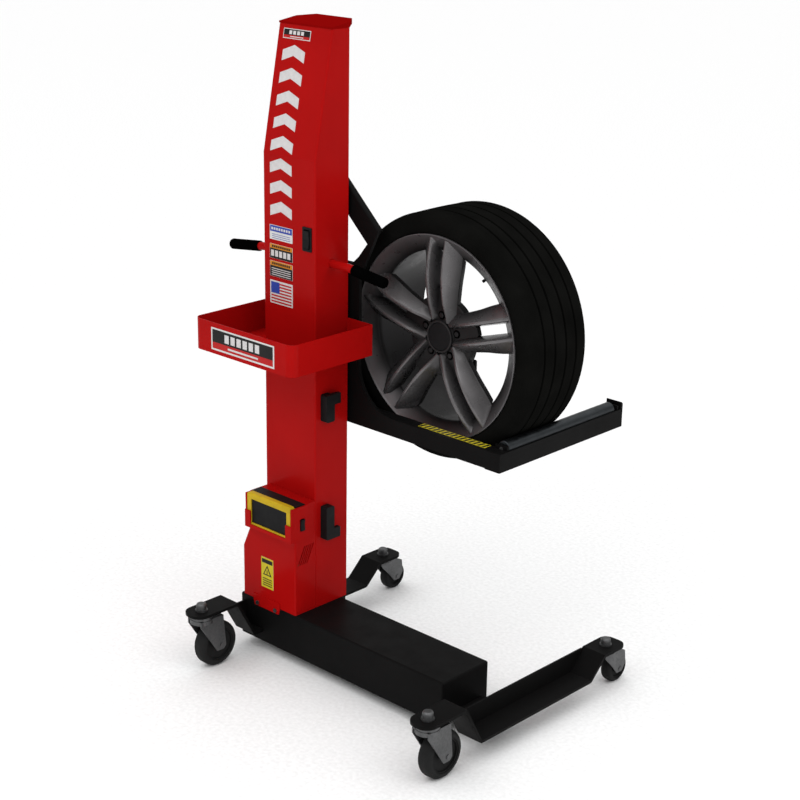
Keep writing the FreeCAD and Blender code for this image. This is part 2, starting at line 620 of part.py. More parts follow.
def make_labels():
    """Printed plates stuck on the column, the tray and the housing."""
    front = COLUMN_Y[0]
    plates = [box(COLUMN_LABEL_X, (front - LABEL, front), z_span) for z_span in COLUMN_LABELS_Z]
    low, high = TOP_LABEL_Z
    plates.append(prism_yz([(lean_y(low) - LABEL, low), (lean_y(high) - LABEL, high), (lean_y(high), high),
                            (lean_y(low), low)], TOP_LABEL_X))
    plates.append(box(TRAY_LABEL_X, (TRAY_Y[0] - LABEL, TRAY_Y[0]), TRAY_LABEL_Z))
    plates.append(box(HOUSING_LABEL_X, (HOUSING_Y[0] - LABEL, HOUSING_Y[0]), HOUSING_LABEL_Z))
    save("column_labels", *plates)


# ================================================================ housing and battery
def housing_outline(inset):
    """Front view: straight sides, stepping in on the left below the battery dock."""
    left, right = shrink(HOUSING_X, inset)
    shoulder_x, shoulder_z = HOUSING_SHOULDER
    return [(left, BEAM_Z[1]), (right, BEAM_Z[1]), (right, HOUSING_TOP - inset),
            (shoulder_x + inset, HOUSING_TOP - inset), (shoulder_x + inset, shoulder_z),
            (left, HOUSING_KNEE_Z)]


def louvre(top_y):
    """Cutter for one leaning slot in the housing's side."""
    low, high = LOUVRE_Z
    outline = [(top_y, high), (top_y + LOUVRE_WIDTH, high), (top_y + LOUVRE_WIDTH - LOUVRE_LEAN, low),
               (top_y - LOUVRE_LEAN, low)]
    return prism_yz(outline, (HOUSING_X[1] - PAST, HOUSING_X[1] + PAST))


def make_housing():
    """Sheet housing in front of the column's foot, open to the column behind."""
    shell = prism_xz(housing_outline(0), HOUSING_Y)
    shell = round_edges(shell, 4.0, lambda middle, direction: middle.y < HOUSING_Y[0] + 1
                        and middle.z > BEAM_Z[1] + 1)
    inner_y = (HOUSING_Y[0] + SHEET, HOUSING_Y[1] + 1)
    shell = shell.cut(prism_xz(housing_outline(SHEET), inner_y))
    shell = shell.cut(box(shrink(HOUSING_X, SHEET), inner_y, (BEAM_Z[1] - 1, BEAM_Z[1] + 1)))
    pocket_x = (DOCK_X[0], HOUSING_X[1] + 1)
    shell = shell.cut(box(pocket_x, (HOUSING_Y[0] - 1, DOCK_Y[1]), (DOCK_Z[0], HOUSING_TOP + 1)))
    for index in range(LOUVRES):
        shell = shell.cut(louvre(LOUVRE_Y + LOUVRE_PITCH * index))
    left, right = TAB_X
    low, high = TAB_Z
    tab = prism_xz([(left, high), (left, BEAM_Z[1]), (left + TAB_TAPER, low), (right - TAB_TAPER, low),
                    (right, BEAM_Z[1]), (right, high)], (HOUSING_Y[0] - SHEET, HOUSING_Y[0]))
    save("lower_housing", shell.fuse(tab).removeSplitter())

    head_radius, head_height = SCREW_HEAD
    socket_radius, socket_depth = SCREW_SOCKET
    seat_y = HOUSING_Y[0] - SHEET
    screws = []
    top_y = seat_y - head_height
    for x in shrink(TAB_X, TAB_SCREW_INSET):
        head = rod(head_radius, (x, top_y, TAB_SCREW_Z), (x, seat_y, TAB_SCREW_Z))
        socket = rod(socket_radius, (x, top_y - 1, TAB_SCREW_Z), (x, top_y + socket_depth, TAB_SCREW_Z))
        screws.append(head.cut(socket))
    save("panel_screws", *screws)


def make_dock():
    """Open-topped cradle that holds the battery pack, with corner lips in front."""
    dock = box(DOCK_X, (DOCK_Y[0] - DOCK_LIP, DOCK_Y[1]), DOCK_Z)
    above_floor = (DOCK_Z[0] + DOCK_FLOOR, DOCK_Z[1] + 1)
    front_y = (DOCK_Y[0] - PAST, DOCK_Y[0])
    well_x = (DOCK_X[0] + DOCK_LEFT_WALL, DOCK_X[1] - DOCK_RIGHT_WALL)
    well = box(well_x, (DOCK_Y[0], DOCK_Y[1] - DOCK_BACK), above_floor)
    window = box(shrink(DOCK_X, DOCK_LIP_WIDTH), (front_y[0], front_y[1] + 1), above_floor)
    upper = box((DOCK_X[0] - 1, DOCK_X[1] + 1), front_y, (DOCK_Z[0] + DOCK_LIP_HEIGHT, DOCK_Z[1] + 1))
    switch_hole = box((well_x[1] - 1, DOCK_X[1] + 1), shrink(POWER_Y, 1.5), shrink(POWER_Z, 1.5))
    pin_hole = rod(POWER_PIN + RUNNING, *power_pin_ends())
    save("battery_dock", dock.cut(well).cut(window).cut(upper).cut(switch_hole).cut(pin_hole))


def power_pin_ends():
    pivot_x, pivot_z = POWER_PIVOT
    return [(pivot_x, y, pivot_z) for y in shrink(POWER_Y, 0.5)]


def make_power_switch():
    """Small on and off rocker on a pin in the side wall of the dock."""
    pivot_x, pivot_z = POWER_PIVOT
    half = (POWER_Z[1] - POWER_Z[0]) / 2 - 3
    outline = [(pivot_x + 6.5, pivot_z - half), (pivot_x + 4.5, pivot_z), (pivot_x + 6.5, pivot_z + half),
               (pivot_x + 1.5, pivot_z + half - 1), (pivot_x - 1, pivot_z),
               (pivot_x + 1.5, pivot_z - half + 1)]
    rocker = prism_xz(outline, shrink(POWER_Y, 3.0))
    save("power_rocker", rocker.fuse(rod(POWER_PIN, *power_pin_ends())).removeSplitter())


def make_battery():
    """Lift-out battery pack: dark case and yellow front frame."""
    frame_y = (PACK_Y[0], PACK_Y[0] + PACK_FRAME)
    case = box(PACK_X, (frame_y[1], PACK_Y[1]), PACK_Z)
    case = round_edges(case, 5.0, lambda middle, direction: middle.z > PACK_Z[1] - 1
                       and along(direction, X_AXIS) and middle.y > frame_y[1] + 1)
    window_x = shrink(PACK_X, PACK_FRAME_SIDE)
    window_z = (PACK_Z[0] + PACK_FRAME_BOTTOM, PACK_Z[1] - PACK_FRAME_TOP)
    plug = box(shrink(window_x, FIT), (frame_y[0] + 3, frame_y[1] + 1), shrink(window_z, FIT))
    cavity = box(shrink(PACK_X, PACK_WALL), (frame_y[1] + PACK_WALL, PACK_Y[1] - PACK_WALL),
                 (PACK_Z[0] + PACK_WALL, PACK_Z[1] - 2 * PACK_WALL))
    save("battery_case", case.fuse(plug).removeSplitter().cut(cavity))

    frame = round_edges(box(PACK_X, frame_y, PACK_Z), 6.0, lambda middle, direction: middle.z > PACK_Z[1] - 1
                        and (along(direction, Y_AXIS) or middle.y < frame_y[0] + 1))
    save("battery_frame", frame.cut(box(window_x, (frame_y[0] - 1, frame_y[1] + 1), window_z)))


def make_cells():
    """Round cells standing inside the battery case."""
    low = PACK_Z[0] + 2 * PACK_WALL
    start_x = sum(PACK_X) / 2 - CELL_PITCH[0] * (CELL_COUNT[0] - 1) / 2
    start_y = PACK_Y[0] + PACK_FRAME + PACK_WALL + CELL_RADIUS + FIT
    cells = []
    for row in range(CELL_COUNT[1]):
        for column in range(CELL_COUNT[0]):
            x = start_x + CELL_PITCH[0] * column
            y = start_y + CELL_PITCH[1] * row
            cells.append(rod(CELL_RADIUS, (x, y, low), (x, y, low + CELL_HEIGHT)))
    save("battery_cells", *cells)


# ================================================================ drive
def make_motor_and_gearbox():
    """Worm gearbox in the mast's foot and the motor that drives it from the beam."""
    x, y = SCREW
    gearbox = box((x - GEARBOX_HALF, x + GEARBOX_HALF), (MAST_Y[0] + MAST_WALL, MAST_Y[1] - 18),
                  (LEG_LOW_Z + LEG_PLATE, GEARBOX_TOP))
    neck = rod(MOTOR_RADIUS, (x, MOTOR_Y[1], DRIVE_Z), (x, MAST_Y[0] + MAST_WALL + 2, DRIVE_Z))
    screw_well = rod(SCREW_ROOT + 3, (x, y, SCREW_FOOT_Z - 2), (x, y, GEARBOX_TOP + 1))
    save("gearbox", gearbox.fuse(neck).cut(screw_well).removeSplitter())

    cap_radius, cap_length = MOTOR_CAP
    motor = rod(MOTOR_RADIUS, (x, MOTOR_Y[0], DRIVE_Z), (x, MOTOR_Y[1], DRIVE_Z))
    end_cap = rod(cap_radius, (x, MOTOR_Y[0] - cap_length, DRIVE_Z), (x, MOTOR_Y[0], DRIVE_Z))
    save("drive_motor", motor.fuse(end_cap).removeSplitter())


def make_lead_screw():
    """Lead screw as a plain rod, with its top bearing."""
    x, y = SCREW
    shoulder_z = BEARING_Z[0] - 4
    screw = rod(SCREW_RADIUS, (x, y, SCREW_Z[0]), (x, y, shoulder_z))
    tail = rod(SCREW_ROOT, (x, y, SCREW_FOOT_Z), (x, y, SCREW_Z[0]))
    head = rod(SCREW_TIP, (x, y, shoulder_z), (x, y, SCREW_Z[1]))
    save("lead_screw", screw.fuse(tail).fuse(head).removeSplitter())

    inner_y = MAST_Y[0] + MAST_WALL
    block = box((x - BEARING_HALF, x + BEARING_HALF), (inner_y, inner_y + BEARING_DEPTH), BEARING_Z)
    bore = rod(SCREW_TIP + RUNNING, (x, y, BEARING_Z[0] - 1), (x, y, BEARING_Z[1] + 1))
    save("screw_bearing", block.cut(bore))


def make_controller():
    """Motor controller board with its heat sink, inside the housing."""
    board = box(BOARD_X, BOARD_Y, BOARD_Z)
    sink = box(shrink(BOARD_X, HEAT_SINK_INSET), (BOARD_Y[1], BOARD_Y[1] + HEAT_SINK_DEPTH),
               shrink(BOARD_Z, HEAT_SINK_INSET))
    save("controller", board.fuse(sink).removeSplitter())


# ================================================================ carriage
def brace_run():
    """Unit vector down along the brace."""
    return Vec(BRACE_FOOT[0] - BRACE_TOP[0], 0, BRACE_FOOT[1] - BRACE_TOP[1]).normalize()


def brace_across():
    return Vec(-brace_run().z, 0, brace_run().x)


def carriage_outline():
    """Front view of the carriage plate: truck tongue, upright, brace ear and arm."""
    across = brace_across()
    seat = [(BRACE_FOOT[0] + across.x * side, BRACE_FOOT[1] + across.z * side)
            for side in (BRACE_HALF_WIDTH, -BRACE_HALF_WIDTH)]
    outer_fork_x = WHEEL_X + ROLLER_HALF_SPREAD - FORK_WIDTH / 2
    tongue_x = MAST_X[1] + 4
    left_x = TRUCK_X[0] + PAD_INSET
    arm = [(left_x, TRUCK_Z[0]), (tongue_x, TRUCK_Z[0]), (tongue_x, ARM_Z[0]), (outer_fork_x, ARM_Z[0]),
           (outer_fork_x, ARM_Z[1]), (UPRIGHT_X, ARM_Z[1])]
    ear = [(UPRIGHT_X, EAR_NECK[1] - 2 * (EAR_NECK[0] - UPRIGHT_X)), EAR_NECK] + seat + [EAR_ARMPIT]
    return arm + ear + [(-150.0, UPRIGHT_TOP_Z), (left_x, UPRIGHT_TOP_Z)]


def make_carriage_plate():
    """Flat plate that carries the forks; a round flare joins the upright to the arm."""
    plate = prism_xz(carriage_outline(), PLATE_Y)
    plate = round_edges(plate, FLARE_RADIUS, lambda middle, direction: along(direction, Y_AXIS)
                        and abs(middle.x - UPRIGHT_X) < 1 and abs(middle.z - ARM_Z[1]) < 1)
    save("carriage_plate", plate)


def make_truck():
    """Box tube that runs inside the mast, with slide pads at both ends."""
    truck = box(TRUCK_X, TRUCK_Y, TRUCK_Z)
    hollow = box(shrink(TRUCK_X, TRUCK_WALL), shrink(TRUCK_Y, TRUCK_WALL), (TRUCK_Z[0] - 1, TRUCK_Z[1] + 1))
    save("carriage_truck", truck.cut(hollow))

    inner_x = shrink(MAST_X, MAST_WALL + FIT)
    inner_y = shrink(MAST_Y, MAST_WALL + FIT)
    pads = []
    for low in (TRUCK_Z[0] + PAD_INSET, TRUCK_Z[1] - PAD_INSET - PAD_HEIGHT):
        pad_z = (low, low + PAD_HEIGHT)
        pads.append(box((inner_x[0], TRUCK_X[0]), TRUCK_Y, pad_z))
        pads.append(box((TRUCK_X[1], inner_x[1]), (MAST_SLOT_Y[1] + 1, TRUCK_Y[1]), pad_z))
        pads.append(box(TRUCK_X, (TRUCK_Y[1], inner_y[1]), pad_z))
    front_x = (TRUCK_X[0] + PAD_INSET, SCREW[0] - SCREW_RADIUS - 8)
    for low in (TRUCK_Z[0] + PAD_INSET, UPRIGHT_TOP_Z - PAD_INSET - PAD_HEIGHT):
        pads.append(box(front_x, (inner_y[0], PLATE_Y[0]), (low, low + PAD_HEIGHT)))
    save("guide_pads", *pads)


def make_drive_nut():
    x, y = SCREW
    low = TRUCK_Z[0] + PAD_INSET
    nut = box((x - NUT_HALF, x + NUT_HALF), (y - NUT_HALF, PLATE_Y[0]), (low, low + NUT_HEIGHT))
    bore = rod(SCREW_RADIUS + RUNNING, (x, y, low - 1), (x, y, low + NUT_HEIGHT + 1))
    save("drive_nut", nut.cut(bore))


def brace_bar(half_width, y_span, stop):
    """Slanted bar from inside the truck to a stop short of the brace's foot."""
    top = Vec(BRACE_TOP[0], 0, BRACE_TOP[1]) - brace_run() * (2 * BRACE_HALF_WIDTH)
    foot = Vec(BRACE_FOOT[0], 0, BRACE_FOOT[1]) - brace_run() * stop
    side = brace_across() * half_width
    corners = [top + side, foot + side, foot - side, top - side]
    return prism_xz([(corner.x, corner.z) for corner in corners], y_span)


def make_brace():
    """Diagonal rectangular tube from the top of the truck down to the plate's ear."""
    outer = brace_bar(BRACE_HALF_WIDTH, BRACE_Y, 0)
    outer = round_edges_along(outer, BRACE_CORNER, brace_run())
    inner = brace_bar(BRACE_HALF_WIDTH - BRACE_WALL, shrink(BRACE_Y, BRACE_WALL), BRACE_WALL)
    truck_z = (TRUCK_Z[0], TRUCK_Z[1] + 2 * BRACE_HALF_WIDTH)
    truck_side = box(TRUCK_X, (BRACE_Y[0] - 1, BRACE_Y[1] + 1), truck_z)
    save("diagonal_brace", outer.cut(inner).cut(truck_side))


# ================================================================ forks
def make_cross_arm():
    """Rectangular tube between the two forks."""
    arm_x = (WHEEL_X - ROLLER_HALF_SPREAD + FORK_WIDTH / 2, WHEEL_X + ROLLER_HALF_SPREAD - FORK_WIDTH / 2)
    hollow = box((arm_x[0] - 1, arm_x[1] + 1), shrink(ARM_Y, FORK_WALL), shrink(ARM_Z, FORK_WALL))
    save("cross_arm", box(arm_x, ARM_Y, ARM_Z).cut(hollow))


def make_fork(name, centre, near_y):
    """Open-topped channel with a raised end plate, and a block at each end for the roller's axle."""
    span = (centre - FORK_WIDTH / 2, centre + FORK_WIDTH / 2)
    inner = shrink(span, FORK_WALL)
    floor_z = FORK_Z[0] + FORK_WALL
    channel = box(span, (near_y, HALF_DEPTH), FORK_Z)
    well = box(inner, (FORK_WELL_Y, HALF_DEPTH - FORK_WALL), (floor_z, FORK_Z[1] + 1))
    socket = box(inner, (near_y + FORK_WALL, FORK_WELL_Y - FORK_WALL), (floor_z, FORK_Z[1] - FORK_WALL))
    end_length, chamfer = FORK_END
    end_top = ROLLER_Z + ROLLER_RADIUS
    end = prism_yz([(HALF_DEPTH - end_length, FORK_Z[0]), (HALF_DEPTH, FORK_Z[0]),
                    (HALF_DEPTH, end_top - chamfer), (HALF_DEPTH - chamfer, end_top),
                    (HALF_DEPTH - end_length, end_top)], span)
    channel = channel.cut(well).cut(socket).fuse(end)
    for y in (FORK_WELL_Y, FAR_BLOCK_Y):
        channel = channel.fuse(box(inner, (y, y + AXLE_BLOCK), (floor_z, ROLLER_Z + 10)))
    axle = rod(ROLLER_AXLE_RADIUS, (centre, FORK_WELL_Y, ROLLER_Z),
               (centre, FAR_BLOCK_Y + AXLE_BLOCK, ROLLER_Z))
    save(name, channel.cut(axle).removeSplitter())
    return axle


def make_roller(name, centre):
    """Tube roller that turns on the fork's axle."""
    start = (centre, ROLLER_Y[0], ROLLER_Z)
    end = (centre, ROLLER_Y[1], ROLLER_Z)
    roller = rod(ROLLER_RADIUS, start, end)
    rims = circles_at(roller, Y_AXIS, start[1]) + circles_at(roller, Y_AXIS, end[1])
    roller = roller.makeChamfer(1.5, rims)
    save(name, roller.cut(rod(ROLLER_AXLE_RADIUS + RUNNING, start, end)))


def make_forks():
    outer_x = WHEEL_X + ROLLER_HALF_SPREAD
    inner_x = WHEEL_X - ROLLER_HALF_SPREAD
    axles = [make_fork("fork_outer", outer_x, PLATE_Y[0]), make_fork("fork_inner", inner_x, PLATE_Y[1])]
    save("roller_axles", *axles)
    make_roller("roller_outer", outer_x)
    make_roller("roller_inner", inner_x)


# ================================================================ wheel
def tyre_side(edge_y, inward):
    """Curves of one sidewall, from the bead outwards, and the liner inside it."""
    def at(radius, depth):
        return Vec(WHEEL_X + radius, edge_y + inward * depth, WHEEL_Z)
    bead = Part.LineSegment(at(BEAD_SEAT, 34), at(BEAD_SEAT, 20))
    heel = Part.LineSegment(at(BEAD_SEAT, 20), at(BEAD_SEAT + 12, 16))
    wall = Part.Arc(at(BEAD_SEAT + 12, 16), at(296, 0), at(318, 8))
    shoulder = Part.Arc(at(318, 8), at(326, 18), at(TYRE_RADIUS - 1.5, 36))
    liner = Part.Arc(at(BEAD_SEAT, 34), at(292, 10), at(315, 36))
    return [bead, heel, wall, shoulder, liner]


def make_tyre():
    """Low-profile tyre: rounded shoulders, bulged sidewalls and four ring grooves."""
    middle_y = sum(TYRE_Y) / 2
    near = tyre_side(TYRE_Y[0], 1)
    far = tyre_side(TYRE_Y[1], -1)
    crown = Part.Arc(near[3].EndPoint, Vec(WHEEL_X + TYRE_RADIUS, middle_y, WHEEL_Z), far[3].EndPoint)
    ceiling = Part.LineSegment(near[4].EndPoint, far[4].EndPoint)
    edges = [curve.toShape() for curve in near + far + [crown, ceiling]]
    section = Part.Face(Part.Wire(Part.__sortEdges__(edges)))
    tyre = section.revolve(Vec(WHEEL_X, 0, WHEEL_Z), Y_AXIS, 360)
    floor = TYRE_RADIUS - GROOVE_DEPTH
    for offset in TYRE_GROOVES:
        y = middle_y + offset
        tyre = tyre.cut(about_y([(floor, y - GROOVE_HALF), (TYRE_RADIUS + 1, y - GROOVE_HALF - 1),
                                 (TYRE_RADIUS + 1, y + GROOVE_HALF + 1), (floor, y + GROOVE_HALF)]))
    save("tyre", tyre)


def make_barrel():
    """Rim barrel: drop centre, bead seats, and the sloping ring that frames the windows."""
    near, far = RIM_Y
    outside = [(RIM_FLANGE, near), (RIM_FLANGE, near + 5), (263, near + 11), (BEAD_SEAT, near + 16),
               (BEAD_SEAT, near + 40), (238, near + 58), (238, far - 78), (BEAD_SEAT, far - 56),
               (BEAD_SEAT, far - 16), (263, far - 11), (RIM_FLANGE, far - 5), (RIM_FLANGE, far)]
    inside = [(269, far), (250, far - 14), (250, far - 58), (231, far - 80), (231, FACE_RING_Y + 32),
              (FACE_RING, FACE_RING_Y + 14), (FACE_RING, FACE_RING_Y), (270, near + 1)]
    return about_y(outside + inside)


def make_blade(side):
    """One ridged blade beside the +X axis: a flat crest between two sloping flanks."""
    sections = []
    for radius, crest_y, foot in BLADE_STATIONS:
        outline = [(SLOT_HALF, SPOKE_BACK_Y), (SLOT_HALF, HUB_Y[0] + 4), (CREST_OFFSET - CREST_HALF, crest_y),
                   (CREST_OFFSET + CREST_HALF, crest_y), (foot, HUB_Y[0] + 2), (foot, SPOKE_BACK_Y)]
        corners = [Vec(WHEEL_X + radius, y, WHEEL_Z + side * across) for across, y in outline]
        sections.append(Part.makePolygon(corners + corners[:1]))
    return Part.makeLoft(sections, True, True)


def spoke_direction(pair):
    """Unit vector in X and Z along the middle line of a pair of blades."""
    angle = math.radians(SPOKE_PHASE + 360.0 / SPOKE_PAIRS * pair)
    return Vec(math.cos(angle), 0, math.sin(angle))


def make_spokes():
    """Five pairs of blades, each with a web near the hub, trimmed inside the barrel."""
    web = box((WHEEL_X + HUB_BORE, WHEEL_X + WEB_REACH), (HUB_Y[0], SPOKE_BACK_Y),
              (WHEEL_Z - SLOT_HALF - 1, WHEEL_Z + SLOT_HALF + 1))
    near = RIM_Y[0]
    behind = HUB_Y[1] + 8
    trim = about_y([(0, 0), (268, 0), (268, near + 4), (256, near + 14), (250, near + 22), (250, behind),
                    (0, behind)])
    blades = [blade.common(trim) for blade in (make_blade(1), make_blade(-1))]
    spokes = []
    for pair in range(SPOKE_PAIRS):
        for piece in blades + [web]:
            turned = piece.copy()
            turned.rotate(Vec(WHEEL_X, 0, WHEEL_Z), Vec(0, -1, 0), SPOKE_PHASE + 360.0 / SPOKE_PAIRS * pair)
            spokes.append(turned)
    return spokes


def make_rim():
    """Five twin-spoke rim, with a lug hole on each pair's middle line."""
    hub = about_y([(HUB_BORE, CAP_Y), (CAP_RING, CAP_Y), (CAP_RING, HUB_Y[0]), (HUB_RADIUS, HUB_Y[0]),
                   (HUB_RADIUS, HUB_Y[1]), (HUB_BORE, HUB_Y[1])])
    barrel = make_barrel()
    rim = barrel.multiFuse([hub] + make_spokes())
    rim = rim.cut(about_y([(0, 0), (HUB_BORE, 0), (HUB_BORE, HUB_Y[1] + 1), (0, HUB_Y[1] + 1)]))
    for pair in range(SPOKE_PAIRS):
        centre = Vec(WHEEL_X, 0, WHEEL_Z) + spoke_direction(pair) * LUG_CIRCLE
        seat_y = (HUB_Y[0] - PAST, HUB_Y[0] + LUG_SEAT_DEPTH)
        rim = rim.cut(rod(LUG_SEAT, (centre.x, seat_y[0], centre.z), (centre.x, seat_y[1], centre.z)))
        rim = rim.cut(rod(LUG_HOLE, (centre.x, HUB_Y[0], centre.z), (centre.x, HUB_Y[1] + 1, centre.z)))
    save("rim", rim.removeSplitter())

    cap = [(0, CAP_Y + 1), (HUB_BORE - 3, CAP_Y + 1), (HUB_BORE, CAP_Y + 3), (HUB_BORE, CAP_Y + 15),
           (0, CAP_Y + 15)]
    save("centre_cap", about_y(cap))

    radius, length = VALVE
    out = spoke_direction(0.5)
    start = Vec(WHEEL_X, FACE_RING_Y + 36, WHEEL_Z) + out * (FACE_RING + 5)
    save("valve_stem", Part.makeCylinder(radius, length, start, out * -0.6 - Y_AXIS * 0.8).cut(barrel))


# ================================================================ casters
def cheek_outline(spec, stem_y, top, axle_y):
    """Side view of a fork cheek: wide at the crown, narrowing down to the axle."""
    lower = [(axle_y + y, spec["wheel"] + z) for y, z in spec["cheek"]]
    return [(stem_y + spec["front"], top), (stem_y + spec["rear"], top)] + lower + [
        (stem_y + spec["front"], top - spec["skirt"] - spec["steel"])]


def make_caster_fork(name, spec, stem_x, stem_y, plate_top):
    """Pressed fork: a cupped crown with the kingpin on it and a cheek at each side."""
    race_low = plate_top - LEG_PLATE - spec["head"]
    top = race_low - FIT
    crown_low = top - spec["steel"]
    axle_y = stem_y + spec["trail"]
    half = spec["width"] / 2 + CHEEK_GAP
    skirt_low = top - spec["skirt"]
    cup = rod(spec["race"], (stem_x, stem_y, skirt_low), (stem_x, stem_y, top))
    cup = cup.cut(rod(spec["race"] - spec["steel"], (stem_x, stem_y, skirt_low), (stem_x, stem_y, crown_low)))
    bridge_y = (stem_y + spec["front"], stem_y + spec["rear"])
    bridge = box((stem_x - half, stem_x + half), bridge_y, (crown_low, top))
    kingpin_top = plate_top + WASHER[1] - 1
    kingpin = rod(spec["stem"] - RUNNING, (stem_x, stem_y, crown_low), (stem_x, stem_y, kingpin_top))
    fork = cup.fuse(bridge).fuse(kingpin)
    for side in (-1, 1):
        inner = stem_x + side * half
        outer = inner + side * spec["steel"]
        cheek = prism_yz(cheek_outline(spec, stem_y, top, axle_y), (min(inner, outer), max(inner, outer)))
        cheek = round_edges(cheek, CHEEK_CORNER, lambda middle, direction: along(direction, X_AXIS)
                            and middle.z < spec["wheel"] + 5 and middle.y > stem_y)
        fork = fork.fuse(cheek)
    reach = half + spec["steel"] + PAST
    hole = rod(CASTER_AXLE, (stem_x - reach, axle_y, spec["wheel"]), (stem_x + reach, axle_y, spec["wheel"]))
    save("caster_fork_" + name, fork.cut(hole).removeSplitter())


def make_caster_axle(name, spec, stem_x, axle_y):
    """Axle pin with a low rivet head at each cheek."""
    reach = spec["width"] / 2 + CHEEK_GAP + spec["steel"]
    head_radius, head_height = AXLE_HEAD
    axle = rod(CASTER_AXLE, (stem_x - reach, axle_y, spec["wheel"]), (stem_x + reach, axle_y, spec["wheel"]))
    for side in (-1, 1):
        start = stem_x + side * reach
        axle = axle.fuse(rod(head_radius, (start, axle_y, spec["wheel"]),
                             (start + side * head_height, axle_y, spec["wheel"])))
    save("caster_axle_" + name, axle.removeSplitter())


def make_caster_wheel(name, spec, stem_x, axle_y):
    """Wheel core with a dish on each side, and the rubber tread around it."""
    def across(radius, half):
        return rod(radius, (stem_x - half, axle_y, spec["wheel"]), (stem_x + half, axle_y, spec["wheel"]))
    core_radius = spec["wheel"] * CORE_SHARE
    half = spec["width"] / 2
    rim_half = half - CORE_INSET
    core = across(core_radius, rim_half).fuse(across(CORE_HUB, half + CHEEK_GAP - FIT))
    ring = across(core_radius - 4, half).cut(across(CORE_HUB + 2, half))
    core = core.cut(ring.cut(across(spec["wheel"], rim_half - CORE_DISH)))
    core = core.cut(across(CASTER_AXLE + RUNNING, spec["wheel"]))
    save("caster_core_" + name, core.removeSplitter())

    tread = across(spec["wheel"], half)
    edges = circles_at(tread, X_AXIS, stem_x - half) + circles_at(tread, X_AXIS, stem_x + half)
    tread = tread.makeFillet(spec["width"] * TREAD_ROUNDING, edges)
    save("caster_tread_" + name, tread.cut(across(core_radius, spec["wheel"])))


def make_race_and_nut(spec, stem_x, stem_y, plate_top):
    """Bearing race under the plate, and the domed nut on a washer above it."""
    under = plate_top - LEG_PLATE
    low = under - spec["head"]
    race = rod(spec["race"] - 1, (stem_x, stem_y, low), (stem_x, stem_y, under))
    race = race.cut(rod(spec["stem"], (stem_x, stem_y, low - 1), (stem_x, stem_y, under + 1)))

    rim, washer = WASHER
    top = plate_top + washer + spec["nut_height"]
    nut = rod(spec["nut"], (stem_x, stem_y, plate_top), (stem_x, stem_y, top))
    nut = nut.makeFillet(NUT_DOME, circles_at(nut, Z_AXIS, top))
    nut = nut.fuse(rod(spec["nut"] + rim, (stem_x, stem_y, plate_top), (stem_x, stem_y, plate_top + washer)))
    nut = nut.cut(rod(spec["stem"], (stem_x, stem_y, plate_top - 1), (stem_x, stem_y, plate_top + washer)))
    return race, nut.removeSplitter()


def make_casters():
    """Four swivel casters, each trailing towards +Y."""
    races = []
    nuts = []
    for end in CASTER_ENDS:
        spec, stem_y, plate_top = end["spec"], end["stem_y"], end["plate_top"]
        axle_y = stem_y + spec["trail"]
        for side, stem_x in (("left", LEFT_STEM_X), ("right", RIGHT_STEM_X)):
            name = end["name"] + "_" + side
            make_caster_fork(name, spec, stem_x, stem_y, plate_top)
            make_caster_axle(name, spec, stem_x, axle_y)
            make_caster_wheel(name, spec, stem_x, axle_y)
            race, nut = make_race_and_nut(spec, stem_x, stem_y, plate_top)
            races.append(race)
            nuts.append(nut)
    save("caster_races", *races)
    save("caster_nuts", *nuts)


make_legs()
make_base_plate()
make_beam()
make_mast()
make_column_cover()
make_column_cap()
make_handle()
make_tray()
make_cleats()
make_lift_switch()
make_labels()
make_housing()
make_dock()
make_power_switch()
make_battery()
make_cells()
make_motor_and_gearbox()
make_lead_screw()
make_controller()
make_carriage_plate()
make_truck()
make_drive_nut()
make_brace()
make_cross_arm()
make_forks()
make_tyre()
make_rim()
make_casters()
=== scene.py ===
"""Looks of the mobile battery wheel lift: materials, rim, prints, light and camera.

Metres, in the shared frame: +Z up, +X from the column towards the wheel, +Y away from the operator.
"""
import bpy
import bmesh
import json
import math
from mathutils import Matrix, Vector


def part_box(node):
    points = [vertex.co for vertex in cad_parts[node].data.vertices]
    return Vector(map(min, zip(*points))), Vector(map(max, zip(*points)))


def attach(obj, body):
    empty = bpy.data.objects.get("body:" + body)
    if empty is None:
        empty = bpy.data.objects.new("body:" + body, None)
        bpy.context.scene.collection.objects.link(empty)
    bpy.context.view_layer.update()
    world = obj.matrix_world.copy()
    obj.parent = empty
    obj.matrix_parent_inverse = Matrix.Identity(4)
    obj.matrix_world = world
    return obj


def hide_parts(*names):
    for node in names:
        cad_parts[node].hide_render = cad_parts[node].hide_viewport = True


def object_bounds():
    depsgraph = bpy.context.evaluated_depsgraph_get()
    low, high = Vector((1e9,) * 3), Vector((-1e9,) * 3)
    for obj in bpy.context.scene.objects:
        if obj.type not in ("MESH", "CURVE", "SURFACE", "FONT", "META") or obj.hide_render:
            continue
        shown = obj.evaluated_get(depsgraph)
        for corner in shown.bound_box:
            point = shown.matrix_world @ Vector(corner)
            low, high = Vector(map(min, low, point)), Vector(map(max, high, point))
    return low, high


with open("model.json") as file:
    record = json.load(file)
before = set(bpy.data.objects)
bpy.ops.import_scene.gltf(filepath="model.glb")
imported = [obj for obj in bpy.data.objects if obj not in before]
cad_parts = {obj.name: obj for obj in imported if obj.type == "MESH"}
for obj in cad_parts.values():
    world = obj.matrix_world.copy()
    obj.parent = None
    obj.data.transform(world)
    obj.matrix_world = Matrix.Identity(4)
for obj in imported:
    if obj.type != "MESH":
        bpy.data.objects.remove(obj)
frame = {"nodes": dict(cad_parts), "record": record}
CAD_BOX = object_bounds()
NODES = frame["nodes"]

